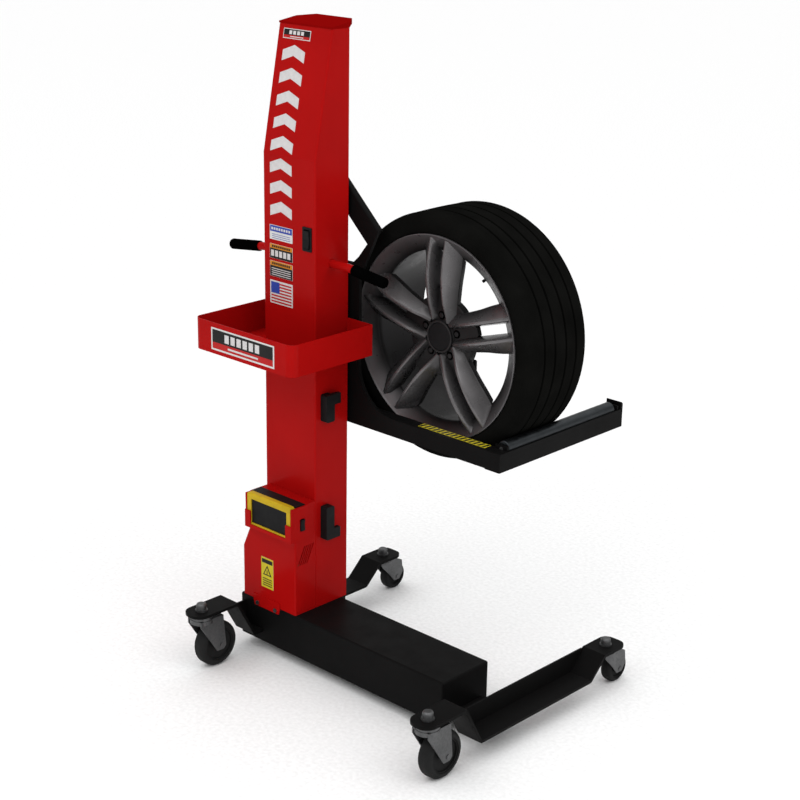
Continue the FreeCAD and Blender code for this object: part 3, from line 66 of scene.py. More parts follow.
TOUCHING = 0.00001                  # points closer than this are taken as level or joined
TYRE_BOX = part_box("tyre")
WHEEL_CENTRE = (TYRE_BOX[0] + TYRE_BOX[1]) / 2
WHEEL_FACE = TYRE_BOX[0].y
TYRE_WIDTH = TYRE_BOX[1].y - TYRE_BOX[0].y


# ---------------------------------------------------------------- material helpers
def tint(colour, amount):
    """A colour made darker or lighter by a factor."""
    return tuple(channel * amount for channel in colour)


def set_stops(colour_ramp, stops):
    """Give a colour ramp its stops, each a place and a colour."""
    elements = colour_ramp.elements
    while len(elements) < len(stops):
        elements.new(0.5)
    for element, (place, colour) in zip(elements, stops):
        element.position = place
        element.color = (*colour, 1.0)


class Nodes:
    """A small helper for building one procedural material."""

    def __init__(self, name, specular=0.15):
        self.material = bpy.data.materials.new(name)
        self.material.use_nodes = True
        self.tree = self.material.node_tree
        self.shader = self.tree.nodes["Principled BSDF"]
        self.coordinates = self.tree.nodes.new("ShaderNodeTexCoord").outputs["Object"]
        self.set(Specular_IOR_Level=specular)

    def set(self, **values):
        """Set plain values on the shader; an underscore stands for a space in a socket's name."""
        for key, value in values.items():
            self.shader.inputs[key.replace("_", " ")].default_value = value

    def link(self, output, key):
        """Link an output to one of the shader's sockets."""
        self.tree.links.new(output, self.shader.inputs[key])

    def add(self, kind, **inputs):
        """Add a node and feed its sockets."""
        node = self.tree.nodes.new(kind)
        for key, value in inputs.items():
            self.feed(node.inputs[key.replace("_", " ")], value)
        return node

    def feed(self, socket, value):
        """Link an output to a socket, or set the socket to a value."""
        if hasattr(value, "is_output"):
            self.tree.links.new(value, socket)
        else:
            socket.default_value = value

    def stretched(self, scale, location=(0, 0, 0)):
        """Object coordinates, scaled and then moved."""
        return self.add("ShaderNodeMapping", Vector=self.coordinates, Scale=scale,
                        Location=location).outputs["Vector"]

    def noise(self, scale, detail=3.0, vector=None, roughness=0.5):
        """Noise between 0 and 1; most of its values lie from 0.3 to 0.7."""
        source = vector or self.coordinates
        return self.add("ShaderNodeTexNoise", Vector=source, Scale=scale, Detail=detail,
                        Roughness=roughness).outputs["Fac"]

    def ramp(self, factor, stops):
        """A colour that follows a factor through the stops."""
        node = self.add("ShaderNodeValToRGB", Fac=factor)
        set_stops(node.color_ramp, stops)
        return node.outputs["Color"]

    def range(self, factor, low, high, start=0.3, end=0.7):
        """A value that goes from low to high while the factor goes from start to end."""
        return self.add("ShaderNodeMapRange", Value=factor, From_Min=start, From_Max=end,
                        To_Min=low, To_Max=high).outputs["Result"]

    def math(self, operation, first, second=0.0):
        """One step of arithmetic on a factor."""
        node = self.tree.nodes.new("ShaderNodeMath")
        node.operation = operation
        self.feed(node.inputs[0], first)
        self.feed(node.inputs[1], second)
        return node.outputs["Value"]

    def vary_colour(self, factor, colour, dark, light, start=0.3, end=0.7):
        """Base colour that drifts from a darker to a lighter tint of one colour."""
        self.link(self.ramp(factor, [(start, tint(colour, dark)), (end, tint(colour, light))]), "Base Color")

    def vary_roughness(self, factor, low, high):
        """Roughness that drifts between two values."""
        self.link(self.range(factor, low, high), "Roughness")

    def bump(self, height, strength, distance, after=None):
        """Relief of a strength and a depth, laid over an earlier relief if there is one."""
        node = self.add("ShaderNodeBump", Height=height, Strength=strength, Distance=distance)
        if after:
            self.tree.links.new(after, node.inputs["Normal"])
        self.link(node.outputs["Normal"], "Normal")
        return node.outputs["Normal"]


# ---------------------------------------------------------------- materials
def paint(name, colour, roughness, peel, specular):
    """Sprayed paint on sheet steel: faint mottling, orange peel and handling smudges."""
    nodes = Nodes(name, specular)
    nodes.vary_colour(nodes.noise(scale=6.0, detail=4.0), colour, 0.93, 1.06)
    smudge = nodes.noise(scale=14.0, detail=5.0, roughness=0.62)
    nodes.vary_roughness(smudge, roughness * 0.85, roughness * 1.25)
    fine = nodes.bump(nodes.noise(scale=620.0, detail=2.0), strength=peel, distance=0.0003)
    nodes.bump(nodes.noise(scale=38.0, detail=2.0), strength=0.05, distance=0.001, after=fine)
    return nodes.material


def moulded(name, colour, roughness, specular=0.15):
    """Moulded plastic or rubber with a fine spark-eroded grain."""
    nodes = Nodes(name, specular)
    nodes.vary_colour(nodes.noise(scale=22.0, detail=4.0), colour, 0.85, 1.2)
    nodes.vary_roughness(nodes.noise(scale=60.0), roughness * 0.9, roughness * 1.12)
    nodes.bump(nodes.noise(scale=900.0, detail=2.0), strength=0.25, distance=0.0003)
    return nodes.material


def metal(name, colour, roughness, brushed=(1, 1, 1)):
    """Bare or plated metal with brush marks, long where the scale is small, and dull patches."""
    nodes = Nodes(name, 0.3)
    nodes.set(Metallic=1.0)
    marks = nodes.noise(scale=160.0, detail=4.0, vector=nodes.stretched(brushed))
    nodes.vary_colour(nodes.noise(scale=18.0, detail=4.0), colour, 0.82, 1.08, end=0.72)
    nodes.vary_roughness(marks, roughness * 0.75, roughness * 1.3)
    nodes.bump(marks, strength=0.15, distance=0.0003)
    return nodes.material


def cast(name, colour):
    """Sand-cast iron skin."""
    nodes = Nodes(name)
    nodes.set(Metallic=0.6)
    pits = nodes.noise(scale=260.0, detail=6.0)
    nodes.vary_colour(pits, colour, 0.6, 1.0, start=0.35, end=0.65)
    nodes.vary_roughness(pits, 0.55, 0.8)
    nodes.bump(pits, strength=0.5, distance=0.0008)
    return nodes.material


def wheel_paint(name, colour, deepest_shade_share, roughness, specular=0.25):
    """Gunmetal wheel lacquer with metal flake, darker the deeper it lies behind the face: painted shade in
    the recesses.
    """
    nodes = Nodes(name, specular)
    nodes.set(Metallic=0.6)
    # painted shade: between 4 and 32 millimetres behind the wheel's face the colour falls to a smaller share
    # of itself
    shade_start = WHEEL_FACE + 0.004
    shade_full = WHEEL_FACE + 0.032
    depth = nodes.add("ShaderNodeSeparateXYZ", Vector=nodes.coordinates).outputs["Y"]
    recess = nodes.range(depth, 1.0, deepest_shade_share, shade_start, shade_full)
    cloud = nodes.range(nodes.noise(scale=9.0, detail=5.0), 0.8, 1.1)
    shade = nodes.math("MULTIPLY", recess, cloud)
    nodes.vary_colour(shade, colour, 0.0, 1.0, start=0.0, end=1.0)
    nodes.vary_roughness(nodes.noise(scale=30.0, detail=4.0), roughness * 0.85, roughness * 1.25)
    nodes.bump(nodes.noise(scale=1400.0, detail=1.0), strength=0.06, distance=0.0002)
    return nodes.material


def tyre_rubber(name, colour):
    """Tyre compound: concentric mould lines, faint cloudy shading and fine grain."""
    ring_pitch = 0.0042
    nodes = Nodes(name, 0.0)
    from_axle = nodes.stretched((1, 0, 1), (-WHEEL_CENTRE.x, 0, -WHEEL_CENTRE.z))
    radius = nodes.add("ShaderNodeVectorMath", Vector=from_axle)
    radius.operation = "LENGTH"
    rings = nodes.math("SINE", nodes.math("MULTIPLY", radius.outputs["Value"], 2 * math.pi / ring_pitch))
    nodes.vary_colour(nodes.noise(scale=12.0, detail=5.0), colour, 0.8, 1.25)
    nodes.vary_roughness(nodes.noise(scale=45.0, detail=4.0), 0.7, 0.9)
    grain = nodes.bump(nodes.noise(scale=700.0), strength=0.3, distance=0.0004)
    nodes.bump(rings, strength=0.12, distance=0.0004, after=grain)
    return nodes.material


def circuit(name):
    """Green solder mask with lighter tracks."""
    nodes = Nodes(name)
    cells = nodes.add("ShaderNodeTexVoronoi", Vector=nodes.coordinates, Scale=140.0)
    nodes.link(nodes.ramp(cells.outputs["Distance"], [(0.2, (0.02, 0.16, 0.06)), (0.6, (0.03, 0.3, 0.12))]),
               "Base Color")
    nodes.vary_roughness(nodes.noise(scale=60.0), 0.3, 0.45)
    return nodes.material


def printed(name, colour, roughness=0.45):
    """Printed film: flat ink with slight density changes under a satin laminate."""
    nodes = Nodes(name)
    nodes.vary_colour(nodes.noise(scale=90.0, detail=4.0), colour, 0.92, 1.04)
    nodes.vary_roughness(nodes.noise(scale=30.0), roughness * 0.85, roughness * 1.2)
    nodes.bump(nodes.noise(scale=500.0, detail=2.0), strength=0.05, distance=0.0002)
    return nodes.material


MATERIALS = {
    "red_paint": paint("red_paint", (0.375, 0.0040, 0.0038), roughness=0.20, peel=0.10, specular=0.03),
    "black_paint": paint("black_paint", (0.0052, 0.0050, 0.0050), roughness=0.45, peel=0.3, specular=0.035),
    "zinc_steel": metal("zinc_steel", (0.125, 0.126, 0.128), roughness=0.5),
    "ground_steel": metal("ground_steel", (0.046, 0.051, 0.055), roughness=0.40, brushed=(0.02, 1, 1)),
    "grip_rubber": moulded("grip_rubber", (0.0010, 0.0010, 0.0010), roughness=0.8, specular=0.0),
    "black_plastic": moulded("black_plastic", (0.0080, 0.0080, 0.0085), roughness=0.5, specular=0.08),
    "yellow_plastic": moulded("yellow_plastic", (0.50, 0.34, 0.010), roughness=0.4, specular=0.1),
    "cell_wrap": moulded("cell_wrap", (0.05, 0.16, 0.34), roughness=0.4),
    "label_film": printed("label_film", (0.66, 0.66, 0.65)),
    "motor_aluminium": metal("motor_aluminium", (0.30, 0.30, 0.32), roughness=0.4, brushed=(1, 0.03, 1)),
    "cast_iron": cast("cast_iron", (0.10, 0.10, 0.11)),
    "circuit_board": circuit("circuit_board"),
    "brass": metal("brass", (0.55, 0.38, 0.16), roughness=0.35),
    "white_plastic": moulded("white_plastic", (0.60, 0.60, 0.58), roughness=0.5),
    "tyre_rubber": tyre_rubber("tyre_rubber", (0.0050, 0.0050, 0.0046)),
    "rim_paint": wheel_paint("rim_paint", (0.150, 0.144, 0.147), deepest_shade_share=0.26, roughness=0.27),
    "caster_plastic": moulded("caster_plastic", (0.014, 0.014, 0.014), roughness=0.5, specular=0.06),
    "caster_rubber": moulded("caster_rubber", (0.016, 0.016, 0.016), roughness=0.6, specular=0.06),
}
# painted shade: the barrel's copy of the wheel paint darkens to a smaller share in depth, so its inside
# behind the windows reads dark
BARREL_PAINT = wheel_paint("barrel_paint", (0.135, 0.129, 0.132), deepest_shade_share=0.14, roughness=0.30,
                           specular=0.03)
# painted shade: a darker copy of the wheel paint for the recessed hub disc, slot floors and lug bolts, which
# lie in shade
HUB_SHADED_PAINT = wheel_paint("hub_shaded_paint", (0.055, 0.053, 0.054), deepest_shade_share=0.30, roughness=0.4)
# painted shade: a darker copy of the red paint for the lid's top, which falls in less light than the
# column's front
LID_SHADED_PAINT = paint("lid_shaded_paint", (0.230, 0.0022, 0.0021), roughness=0.60, peel=0.10, specular=0.0)
INK = {
    "white": printed("ink_white", (0.62, 0.60, 0.60)),
    "black": printed("ink_black", (0.008, 0.008, 0.008)),
    "blue": printed("ink_blue", (0.02, 0.05, 0.35)),
    "orange": printed("ink_orange", (0.60, 0.22, 0.01)),
    "red": printed("ink_red", (0.45, 0.01, 0.01)),
    "yellow": printed("ink_yellow", (0.60, 0.50, 0.02)),
}


def dress_nodes():
    """Give each CAD node the material of its slot, and the column's lid a darker copy of the red paint as
    painted shade on its top.
    """
    for subpart in frame["record"]["subparts"]:
        node = NODES[subpart["node"]]
        node.data.materials.clear()
        node.data.materials.append(MATERIALS[subpart["material_slot"]])
    NODES["column_cap"].data.materials[0] = LID_SHADED_PAINT


# ---------------------------------------------------------------- mesh helpers
def new_object(name, builder, material):
    """Make an object from a bmesh and give it its material."""
    mesh = bpy.data.meshes.new(name)
    builder.to_mesh(mesh)
    builder.free()
    mesh.materials.append(material)
    made = bpy.data.objects.new(name, mesh)
    bpy.context.collection.objects.link(made)
    return made


def new_piece(name, builder, material, body):
    """Make a piece of the machine with its faces turned outwards, riding on a body."""
    bmesh.ops.recalc_face_normals(builder, faces=builder.faces)
    piece = new_object(name, builder, material)
    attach(piece, body)
    return piece


def shade_smooth(piece, angle):
    """Smooth shading that stays sharp at edges above an angle in degrees."""
    for face in piece.data.polygons:
        face.use_smooth = True
    piece.data.set_sharp_from_angle(angle=math.radians(angle))


def skin(builder, loops):
    """Faces between neighbouring loops that have the same number of points."""
    count = len(loops[0])
    for lower, upper in zip(loops, loops[1:]):
        for i in range(count):
            j = (i + 1) % count
            builder.faces.new((lower[i], lower[j], upper[j], upper[i]))


def loft(builder, rings):
    """Skin a list of closed rings and close both ends."""
    loops = [[builder.verts.new(point) for point in ring] for ring in rings]
    skin(builder, loops)
    builder.faces.new(loops[0][::-1])
    builder.faces.new(loops[-1])


def on_wheel(angle, along, across, depth):
    """A point on the wheel: along and across a direction, and behind the wheel's face."""
    x = WHEEL_CENTRE.x + along * math.cos(angle) - across * math.sin(angle)
    z = WHEEL_CENTRE.z + along * math.sin(angle) + across * math.cos(angle)
    return Vector((x, WHEEL_FACE + depth, z))


def revolve(builder, profile, steps):
    """Turn a closed outline of (radius, depth behind the wheel's face) about the axle."""
    loops = []
    for step in range(steps):
        angle = 2 * math.pi * step / steps
        loops.append([builder.verts.new(on_wheel(angle, radius, 0, depth)) for radius, depth in profile])
    skin(builder, loops + loops[:1])


# ---------------------------------------------------------------- rim
RIM_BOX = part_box("rim")
CAP_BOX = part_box("centre_cap")
RIM_RADIUS = (RIM_BOX[1].x - RIM_BOX[0].x) / 2
CAP_RADIUS = (CAP_BOX[1].x - CAP_BOX[0].x) / 2

SPOKE_PAIRS = 5
SPOKE_PHASE = math.radians(17.0)    # direction of the first pair, from +X
# radius, depth of the crest, half width of the pair at its foot
BLADE_STATIONS = ((0.042, 0.0240, 0.050), (0.062, 0.0190, 0.051), (0.100, 0.0055, 0.052),
                  (0.150, -0.0025, 0.056), (0.200, -0.0020, 0.063), (0.258, 0.0070, 0.067),
                  (0.268, 0.0085, 0.067))
BLADE_STEPS = 28
CREST_OFFSET = 0.026                # from the middle of a pair to the middle of a crest
CREST_HALF = 0.0035
CREST_DROP = 0.0008                 # how far the edges of a crest lie behind its middle
SHOULDER = (0.0020, 0.0028)         # start of the flank, out from the crest's edge and behind the crest
FLANK_END = (0.0030, 0.0020)        # end of the flank, in from the foot and in front of the slot's floor
FLANK_CURVE = 0.85
FOOT_ROUND = 0.004                  # depth over which the foot of a blade turns into its side
SLOT_HALF = 0.013                   # half the gap between the two blades of a pair
SLOT_DEPTH = 0.033                  # depth of the slot's floor and of the hub's disc
SPOKE_BACK = 0.047                  # depth of the backs of the blades and webs

WEB_START = 0.095
WEB_REACH = 0.131
WEB_CORNER = 0.006
WEB_LAP = 0.001                     # how far a web reaches into the blades beside it
WEB_LIFT = 0.0002                   # how far a web stands in front of the hub's disc

RING_INNER = RIM_RADIUS - 0.047
RING_OUTER = RIM_RADIUS - 0.003
RING_DEPTHS = (0.035, 0.0045)       # depth of the sloping ring at its inner and outer radius
RING_COVER = 0.003                  # how far behind the ring's surface a blade may reach
LIP_FOOT = RIM_RADIUS - 0.012
BEAD_SEAT = RIM_RADIUS - 0.0185
DROP_CENTRE = RIM_RADIUS - 0.037
BARREL_BORE = RIM_RADIUS - 0.044
BARREL_STEPS = 160

HUB_BACK = 0.055                    # depth of the back of the hub
HUB_EDGE = 0.106                    # radius of the disc, inside its chamfer
COLLAR_FRONT = 0.024                # depth of the collar's front
HUB_STEPS = 96

LUG_CIRCLE = 0.05715
LUG_SEAT_RADIUS = 0.0115
LUG_SEAT_HEIGHT = 0.0004
LUG_SEAT_SIDES = 24
LUG_HEAD = (0.0075, 0.0022)         # radius and height of the bolt head below its chamfer
LUG_TOP = (0.0062, 0.0030)          # radius and height of the top of its chamfer
LUG_SIDES = 6


def pair_angle(pair):
    """Direction of a pair of blades from the axle."""
    return SPOKE_PHASE + 2 * math.pi * pair / SPOKE_PAIRS


def smooth_station(radius):
    """Crest depth and foot half width at a radius, curving smoothly through the stations."""
    last = len(BLADE_STATIONS) - 1
    index = max(i for i in range(last) if BLADE_STATIONS[i][0] <= radius)
    before, start, end, after = [BLADE_STATIONS[min(max(i, 0), last)] for i in range(index - 1, index + 3)]
    span = end[0] - start[0]
    share = (radius - start[0]) / span
    values = []
    for column in (1, 2):
        start_slope = (end[column] - before[column]) / (end[0] - before[0]) * span
        end_slope = (after[column] - start[column]) / (after[0] - start[0]) * span
        rise = end[column] - start[column]
        bend = (start_slope - rise) * (1 - share) + (rise - end_slope) * share
        values.append(start[column] + rise * share + share * (1 - share) * bend)
    return values


def sunk(angle, along, across, depth):
    """A point of a blade, no deeper than just behind the sloping ring once past the windows."""
    radius = math.hypot(along, across)
    if radius > RING_INNER:
        share = (radius - RING_INNER) / (RING_OUTER - RING_INNER)
        ring_depth = RING_DEPTHS[0] + share * (RING_DEPTHS[1] - RING_DEPTHS[0])
        depth = min(depth, ring_depth + RING_COVER)
    return on_wheel(angle, along, across, depth)


def blade_ring(angle, radius, side):
    """Cross-section of one blade: slot wall, flat crest with soft edges, and outer flank."""
    crest, foot = smooth_station(radius)
    inner = CREST_OFFSET - CREST_HALF
    outer = CREST_OFFSET + CREST_HALF
    start = (outer + SHOULDER[0], crest + SHOULDER[1])
    end = (foot - FLANK_END[0], SLOT_DEPTH - FLANK_END[1])
    flank = [(start[0] + (end[0] - start[0]) * share, start[1] + (end[1] - start[1]) * share ** FLANK_CURVE)
             for share in (0, 0.25, 0.5, 0.75, 1)]
    slot_wall = [(SLOT_HALF, SPOKE_BACK), (SLOT_HALF, SLOT_DEPTH + 0.003), (inner - 0.0025, crest + 0.005)]
    ridge = [(inner, crest + CREST_DROP), (CREST_OFFSET, crest), (outer, crest + CREST_DROP)]
    foot_wall = [(foot - 0.0005, SLOT_DEPTH), (foot, SLOT_DEPTH + FOOT_ROUND), (foot, SPOKE_BACK)]
    return [sunk(angle, radius, side * across, depth)
            for across, depth in slot_wall + ridge + flank + foot_wall]


def make_spokes():
    """Five pairs of ridged blades."""
    builder = bmesh.new()
    start = BLADE_STATIONS[0][0]
    reach = BLADE_STATIONS[-1][0] - start
    for pair in range(SPOKE_PAIRS):
        for side in (-1, 1):
            loft(builder, [blade_ring(pair_angle(pair), start + reach * step / BLADE_STEPS, side)
                           for step in range(BLADE_STEPS + 1)])
    return builder


def make_webs():
    """Floor of each slot near the hub, ending in rounded corners."""
    builder = bmesh.new()
    half = SLOT_HALF + WEB_LAP
    turns = [math.pi / 2 * step / 6 for step in range(7)]
    corner = [(WEB_REACH - WEB_CORNER + WEB_CORNER * math.sin(turn),
               -half + WEB_CORNER - WEB_CORNER * math.cos(turn)) for turn in turns]
    other_corner = [(along, -across) for along, across in corner[::-1]]
    outline = [(WEB_START, -half)] + corner + other_corner + [(WEB_START, half)]
    for pair in range(SPOKE_PAIRS):
        loft(builder, [[on_wheel(pair_angle(pair), along, across, depth) for along, across in outline]
                       for depth in (SLOT_DEPTH - WEB_LIFT, SPOKE_BACK)])
    return builder


def make_barrel():
    """Rolled barrel: lips, bead seats, drop centre, and the sloping ring around the windows."""
    far = TYRE_WIDTH
    near_lip = [(RIM_RADIUS - 0.0010, 0.0034), (RIM_RADIUS - 0.0002, 0.0050),
                (RIM_RADIUS - 0.0005, 0.0080), (LIP_FOOT, 0.0140)]
    seats = [(BEAD_SEAT, 0.0190), (BEAD_SEAT, 0.0430), (DROP_CENTRE, 0.0610),
             (DROP_CENTRE, far - 0.0810), (BEAD_SEAT, far - 0.0590), (BEAD_SEAT, far - 0.0190)]
    far_lip = [(LIP_FOOT, far - 0.0140), (RIM_RADIUS, far - 0.0080), (RIM_RADIUS - 0.0005, far - 0.0030),
               (RIM_RADIUS - 0.0050, far - 0.0030), (RIM_RADIUS - 0.0310, far - 0.0120)]
    bore = [(BARREL_BORE, far - 0.0240), (BARREL_BORE, 0.0670), (RING_INNER, SPOKE_BACK + 0.002)]
    ring_start = [(RING_INNER, RING_DEPTHS[0] + 0.0025), (RING_INNER + 0.0010, RING_DEPTHS[0] + 0.0006),
                  (RING_INNER + 0.0030, RING_DEPTHS[0] - 0.0014)]
    ring_end = [(RING_OUTER - 0.0040, RING_DEPTHS[1] + 0.0026),
                (RING_OUTER - 0.0015, RING_DEPTHS[1] + 0.0006), (RING_OUTER, RING_DEPTHS[1] - 0.0010)]
    builder = bmesh.new()
    revolve(builder, near_lip + seats + far_lip + bore + ring_start + ring_end, BARREL_STEPS)
    return builder


def make_hub():
    """Hub disc behind the slots, with the raised collar around the cap."""
    collar = [(CAP_RADIUS, HUB_BACK), (CAP_RADIUS, COLLAR_FRONT + 0.0015),
              (CAP_RADIUS + 0.0008, COLLAR_FRONT + 0.0002), (CAP_RADIUS + 0.0020, COLLAR_FRONT),
              (CAP_RADIUS + 0.0044, COLLAR_FRONT), (CAP_RADIUS + 0.0055, COLLAR_FRONT + 0.0010),
              (CAP_RADIUS + 0.0057, SLOT_DEPTH - 0.003), (CAP_RADIUS + 0.0080, SLOT_DEPTH)]
    disc = [(HUB_EDGE, SLOT_DEPTH), (HUB_EDGE + 0.002, SLOT_DEPTH + 0.002), (HUB_EDGE + 0.002, HUB_BACK)]
    builder = bmesh.new()
    revolve(builder, collar + disc, HUB_STEPS)
    return builder


def turned(builder, centre, sections, sides):
    """A turned or hexagonal boss facing the operator, from (radius, depth) sections."""
    rings = []
    for radius, depth in sections:
        turns = [2 * math.pi * side / sides for side in range(sides)]
        rings.append([centre + Vector((radius * math.cos(turn), depth, radius * math.sin(turn)))
                      for turn in turns])
    loft(builder, rings)


def make_lugs():
    """Dark discs in the slots as painted shade of the lug holes, each with a hexagonal bolt head."""
    shade_discs = bmesh.new()
    bolts = bmesh.new()
    for pair in range(SPOKE_PAIRS):
        centre = on_wheel(pair_angle(pair), LUG_CIRCLE, 0, 0)
        # painted shade: a thin near-black disc where the shaded lug hole lies around the bolt
        turned(shade_discs, centre, [(LUG_SEAT_RADIUS, SLOT_DEPTH + 0.001),
                              (LUG_SEAT_RADIUS, SLOT_DEPTH - LUG_SEAT_HEIGHT)], LUG_SEAT_SIDES)
        turned(bolts, centre, [(LUG_HEAD[0], SLOT_DEPTH), (LUG_HEAD[0], SLOT_DEPTH - LUG_HEAD[1]),
                               (LUG_TOP[0], SLOT_DEPTH - LUG_TOP[1])], LUG_SIDES)
    new_piece("lug_hole_shade", shade_discs, MATERIALS["grip_rubber"], "wheel")
    new_piece("lug_bolts", bolts, HUB_SHADED_PAINT, "wheel")


def make_rim():
    """The rim as a barrel with a hub, slot floors, blades and lug bolts inside it."""
    parts = {"barrel": (make_barrel(), BARREL_PAINT), "hub": (make_hub(), HUB_SHADED_PAINT),
             "webs": (make_webs(), HUB_SHADED_PAINT), "spokes": (make_spokes(), MATERIALS["rim_paint"])}
    pieces = {}
    for name, (builder, material) in parts.items():
        pieces[name] = new_piece("rim_" + name + "_visual", builder, material, "wheel")
        shade_smooth(pieces[name], angle=32)
    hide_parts("rim")
    make_lugs()


# ---------------------------------------------------------------- prints
LAYER = 0.00035                     # thickness of one printed layer
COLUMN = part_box("column_cover")
COLUMN_POINTS = [vertex.co for vertex in NODES["column_cover"].data.vertices]
COLUMN_TOP_FRONT = min(point.y for point in COLUMN_POINTS if point.z > COLUMN[1].z - TOUCHING)
LEAN_START_Z = max(point.z for point in COLUMN_POINTS if point.y < COLUMN[0].y + TOUCHING)

GRAPHIC_INSET = 0.0675              # from the column's left edge to the middle of the graphic
CHEVRON_PITCH = 0.057
CHEVRON_HALF = 0.041
CHEVRON_RISE = 0.015
CHEVRON_WEIGHT = 0.027
CHEVRON_CLEAR = 0.006               # from the column's bend up to the first chevron above it
CHEVRONS_BELOW = 3
CHEVRONS_ABOVE = 5

STRIP_LENGTH = 0.232
STRIP_WIDTH = 0.026
STRIP_END_GAP = 0.012
STRIP_EDGE = 0.002                  # bare edge beside the strip, and the yellow left beside its marks
STRIP_MARKS = 15


def column_front(z):
    """Y of the column's front face at a height: upright, then leaning back to the top."""
    lean = (COLUMN_TOP_FRONT - COLUMN[0].y) / (COLUMN[1].z - LEAN_START_Z)
    return COLUMN[0].y + max(0.0, z - LEAN_START_Z) * lean


def plates_of(node):
    """Boxes of a node's separate plates, from the top one down."""
    builder = bmesh.new()
    builder.from_mesh(NODES[node].data)
    bmesh.ops.remove_doubles(builder, verts=builder.verts, dist=TOUCHING)
    waiting = set(builder.verts)
    boxes = []
    while waiting:
        reached = {waiting.pop()}
        island = set(reached)
        while reached:
            reached = {link.other_vert(vert) for vert in reached for link in vert.link_edges} & waiting
            waiting -= reached
            island |= reached
        points = [vert.co for vert in island]
        boxes.append((Vector([min(point[axis] for point in points) for axis in range(3)]),
                      Vector([max(point[axis] for point in points) for axis in range(3)])))
    builder.free()
    return sorted(boxes, key=lambda plate: -plate[1].z)


def flat_print(builder, points, surface, thickness):
    """A thin printed shape from an outline of (x, z) points on a surface that faces the operator."""
    back = [(x, surface(z), z) for x, z in points]
    front = [(x, surface(z) - thickness, z) for x, z in points]
    loft(builder, [back, front])


def print_piece(name, ink, shapes, surface, layer=1):
    """Shapes printed in one ink; a higher layer lies over a lower one."""
    builder = bmesh.new()
    for points in shapes:
        flat_print(builder, points, surface, LAYER * layer)
    new_piece(name, builder, INK[ink], "base")


def chevron(centre, low):
    """An upward pointing chevron, from the foot of its arms."""
    left = centre - CHEVRON_HALF
    right = centre + CHEVRON_HALF
    tip = low + CHEVRON_RISE
    return [(left, low), (centre, tip), (right, low), (right, low + CHEVRON_WEIGHT),
            (centre, tip + CHEVRON_WEIGHT), (left, low + CHEVRON_WEIGHT)]


def column_graphic():
    """White lifting graphic up the column: chevrons on the upright face and on the leaning one."""
    centre = COLUMN[0].x + GRAPHIC_INSET
    start = LEAN_START_Z + CHEVRON_CLEAR
    shapes = [chevron(centre, start + CHEVRON_PITCH * index)
              for index in range(-CHEVRONS_BELOW, CHEVRONS_ABOVE)]
    print_piece("column_graphic", "white", shapes, column_front)


class Plate:
    """One printed plate: places shapes on it by fractions of its width and height."""

    def __init__(self, name, box):
        self.name = name
        self.low, self.high = box

    def surface(self, z):
        """Y of the plate's face: upright, or as far out from the leaning face as the plate's foot."""
        if self.low.z < LEAN_START_Z:
            return self.low.y
        return column_front(z) - column_front(self.low.z) + self.low.y

    def point(self, across, up):
        """The (x, z) point at a fraction of the width and a fraction of the height."""
        span = self.high - self.low
        return (self.low.x + span.x * across, self.low.z + span.z * up)

    def part(self, left, right, low, high):
        """A rectangle between fractions of the width and of the height."""
        corners = ((left, low), (right, low), (right, high), (left, high))
        return [self.point(across, up) for across, up in corners]

    def row(self, count, fill, left, right, low, high):
        """A row of equal blocks between two fractions of the width."""
        pitch = (right - left) / count
        return [self.part(left + pitch * index, left + pitch * (index + fill), low, high)
                for index in range(count)]

    def lines(self, count, fill, left, right, low, high):
        """Equal lines between two fractions of the height."""
        pitch = (high - low) / count
        return [self.part(left, right, low + pitch * index, low + pitch * (index + fill))
                for index in range(count)]

    def put(self, part_name, ink, shapes, layer=1):
        """Print shapes on the plate in one ink."""
        print_piece(self.name + "_" + part_name, ink, shapes, self.surface, layer)


def warning_plate(name, box, rows):
    """Black plate with an orange band on top, a row of dark dashes on it and white marks below."""
    plate = Plate(name, box)
    plate.put("ground", "black", [plate.part(0.01, 0.99, 0.01, 0.70)])
    plate.put("band", "orange", [plate.part(0.01, 0.99, 0.70, 0.99)])
    plate.put("dashes", "black", plate.row(9, 0.7, 0.10, 0.92, 0.77, 0.92), layer=2)
    if rows == 1:
        marks = plate.row(5, 0.72, 0.06, 0.96, 0.16, 0.58)
    else:
        marks = plate.lines(rows, 0.35, 0.08, 0.92, 0.10, 0.64)
    plate.put("marks", "white", marks, layer=2)


def notice_plate(name, box):
    """White plate with a blue band and thin blue lines."""
    plate = Plate(name, box)
    plate.put("band", "blue", [plate.part(0.02, 0.98, 0.56, 0.97)])
    plate.put("dashes", "white", plate.row(8, 0.65, 0.08, 0.94, 0.68, 0.85), layer=2)
    plate.put("lines", "blue", plate.lines(3, 0.22, 0.10, 0.90, 0.10, 0.50))


def striped_plate(name, box):
    """White plate with red stripes and a blue block."""
    plate = Plate(name, box)
    plate.put("stripes", "red", plate.lines(7, 0.5, 0.05, 0.95, 0.06, 0.98))
    plate.put("block", "blue", [plate.part(0.05, 0.42, 0.46, 0.94)], layer=2)


def banded_plate(name, box, blocks):
    """White plate with a black upper band and a red lower one, each with white marks."""
    plate = Plate(name, box)
    plate.put("upper", "black", [plate.part(0.02, 0.98, 0.36, 0.93)])
    plate.put("lower", "red", [plate.part(0.02, 0.98, 0.08, 0.36)])
    plate.put("marks", "white", plate.row(blocks, 0.7, 0.22, 0.80, 0.45, 0.82), layer=2)
    plate.put("line", "white", [plate.part(0.27, 0.75, 0.18, 0.26)], layer=2)


def triangle_points(plate, share):
    """A triangle on a plate, shrunk to a share of its size about its centre."""
    centre = 0.5
    base = 0.42
    half = 0.36
    rise = 0.34
    middle = base + rise / 3
    corners = [(centre - half, base), (centre + half, base), (centre, base + rise)]
    return [plate.point(centre + (across - centre) * share, middle + (up - middle) * share)
            for across, up in corners]


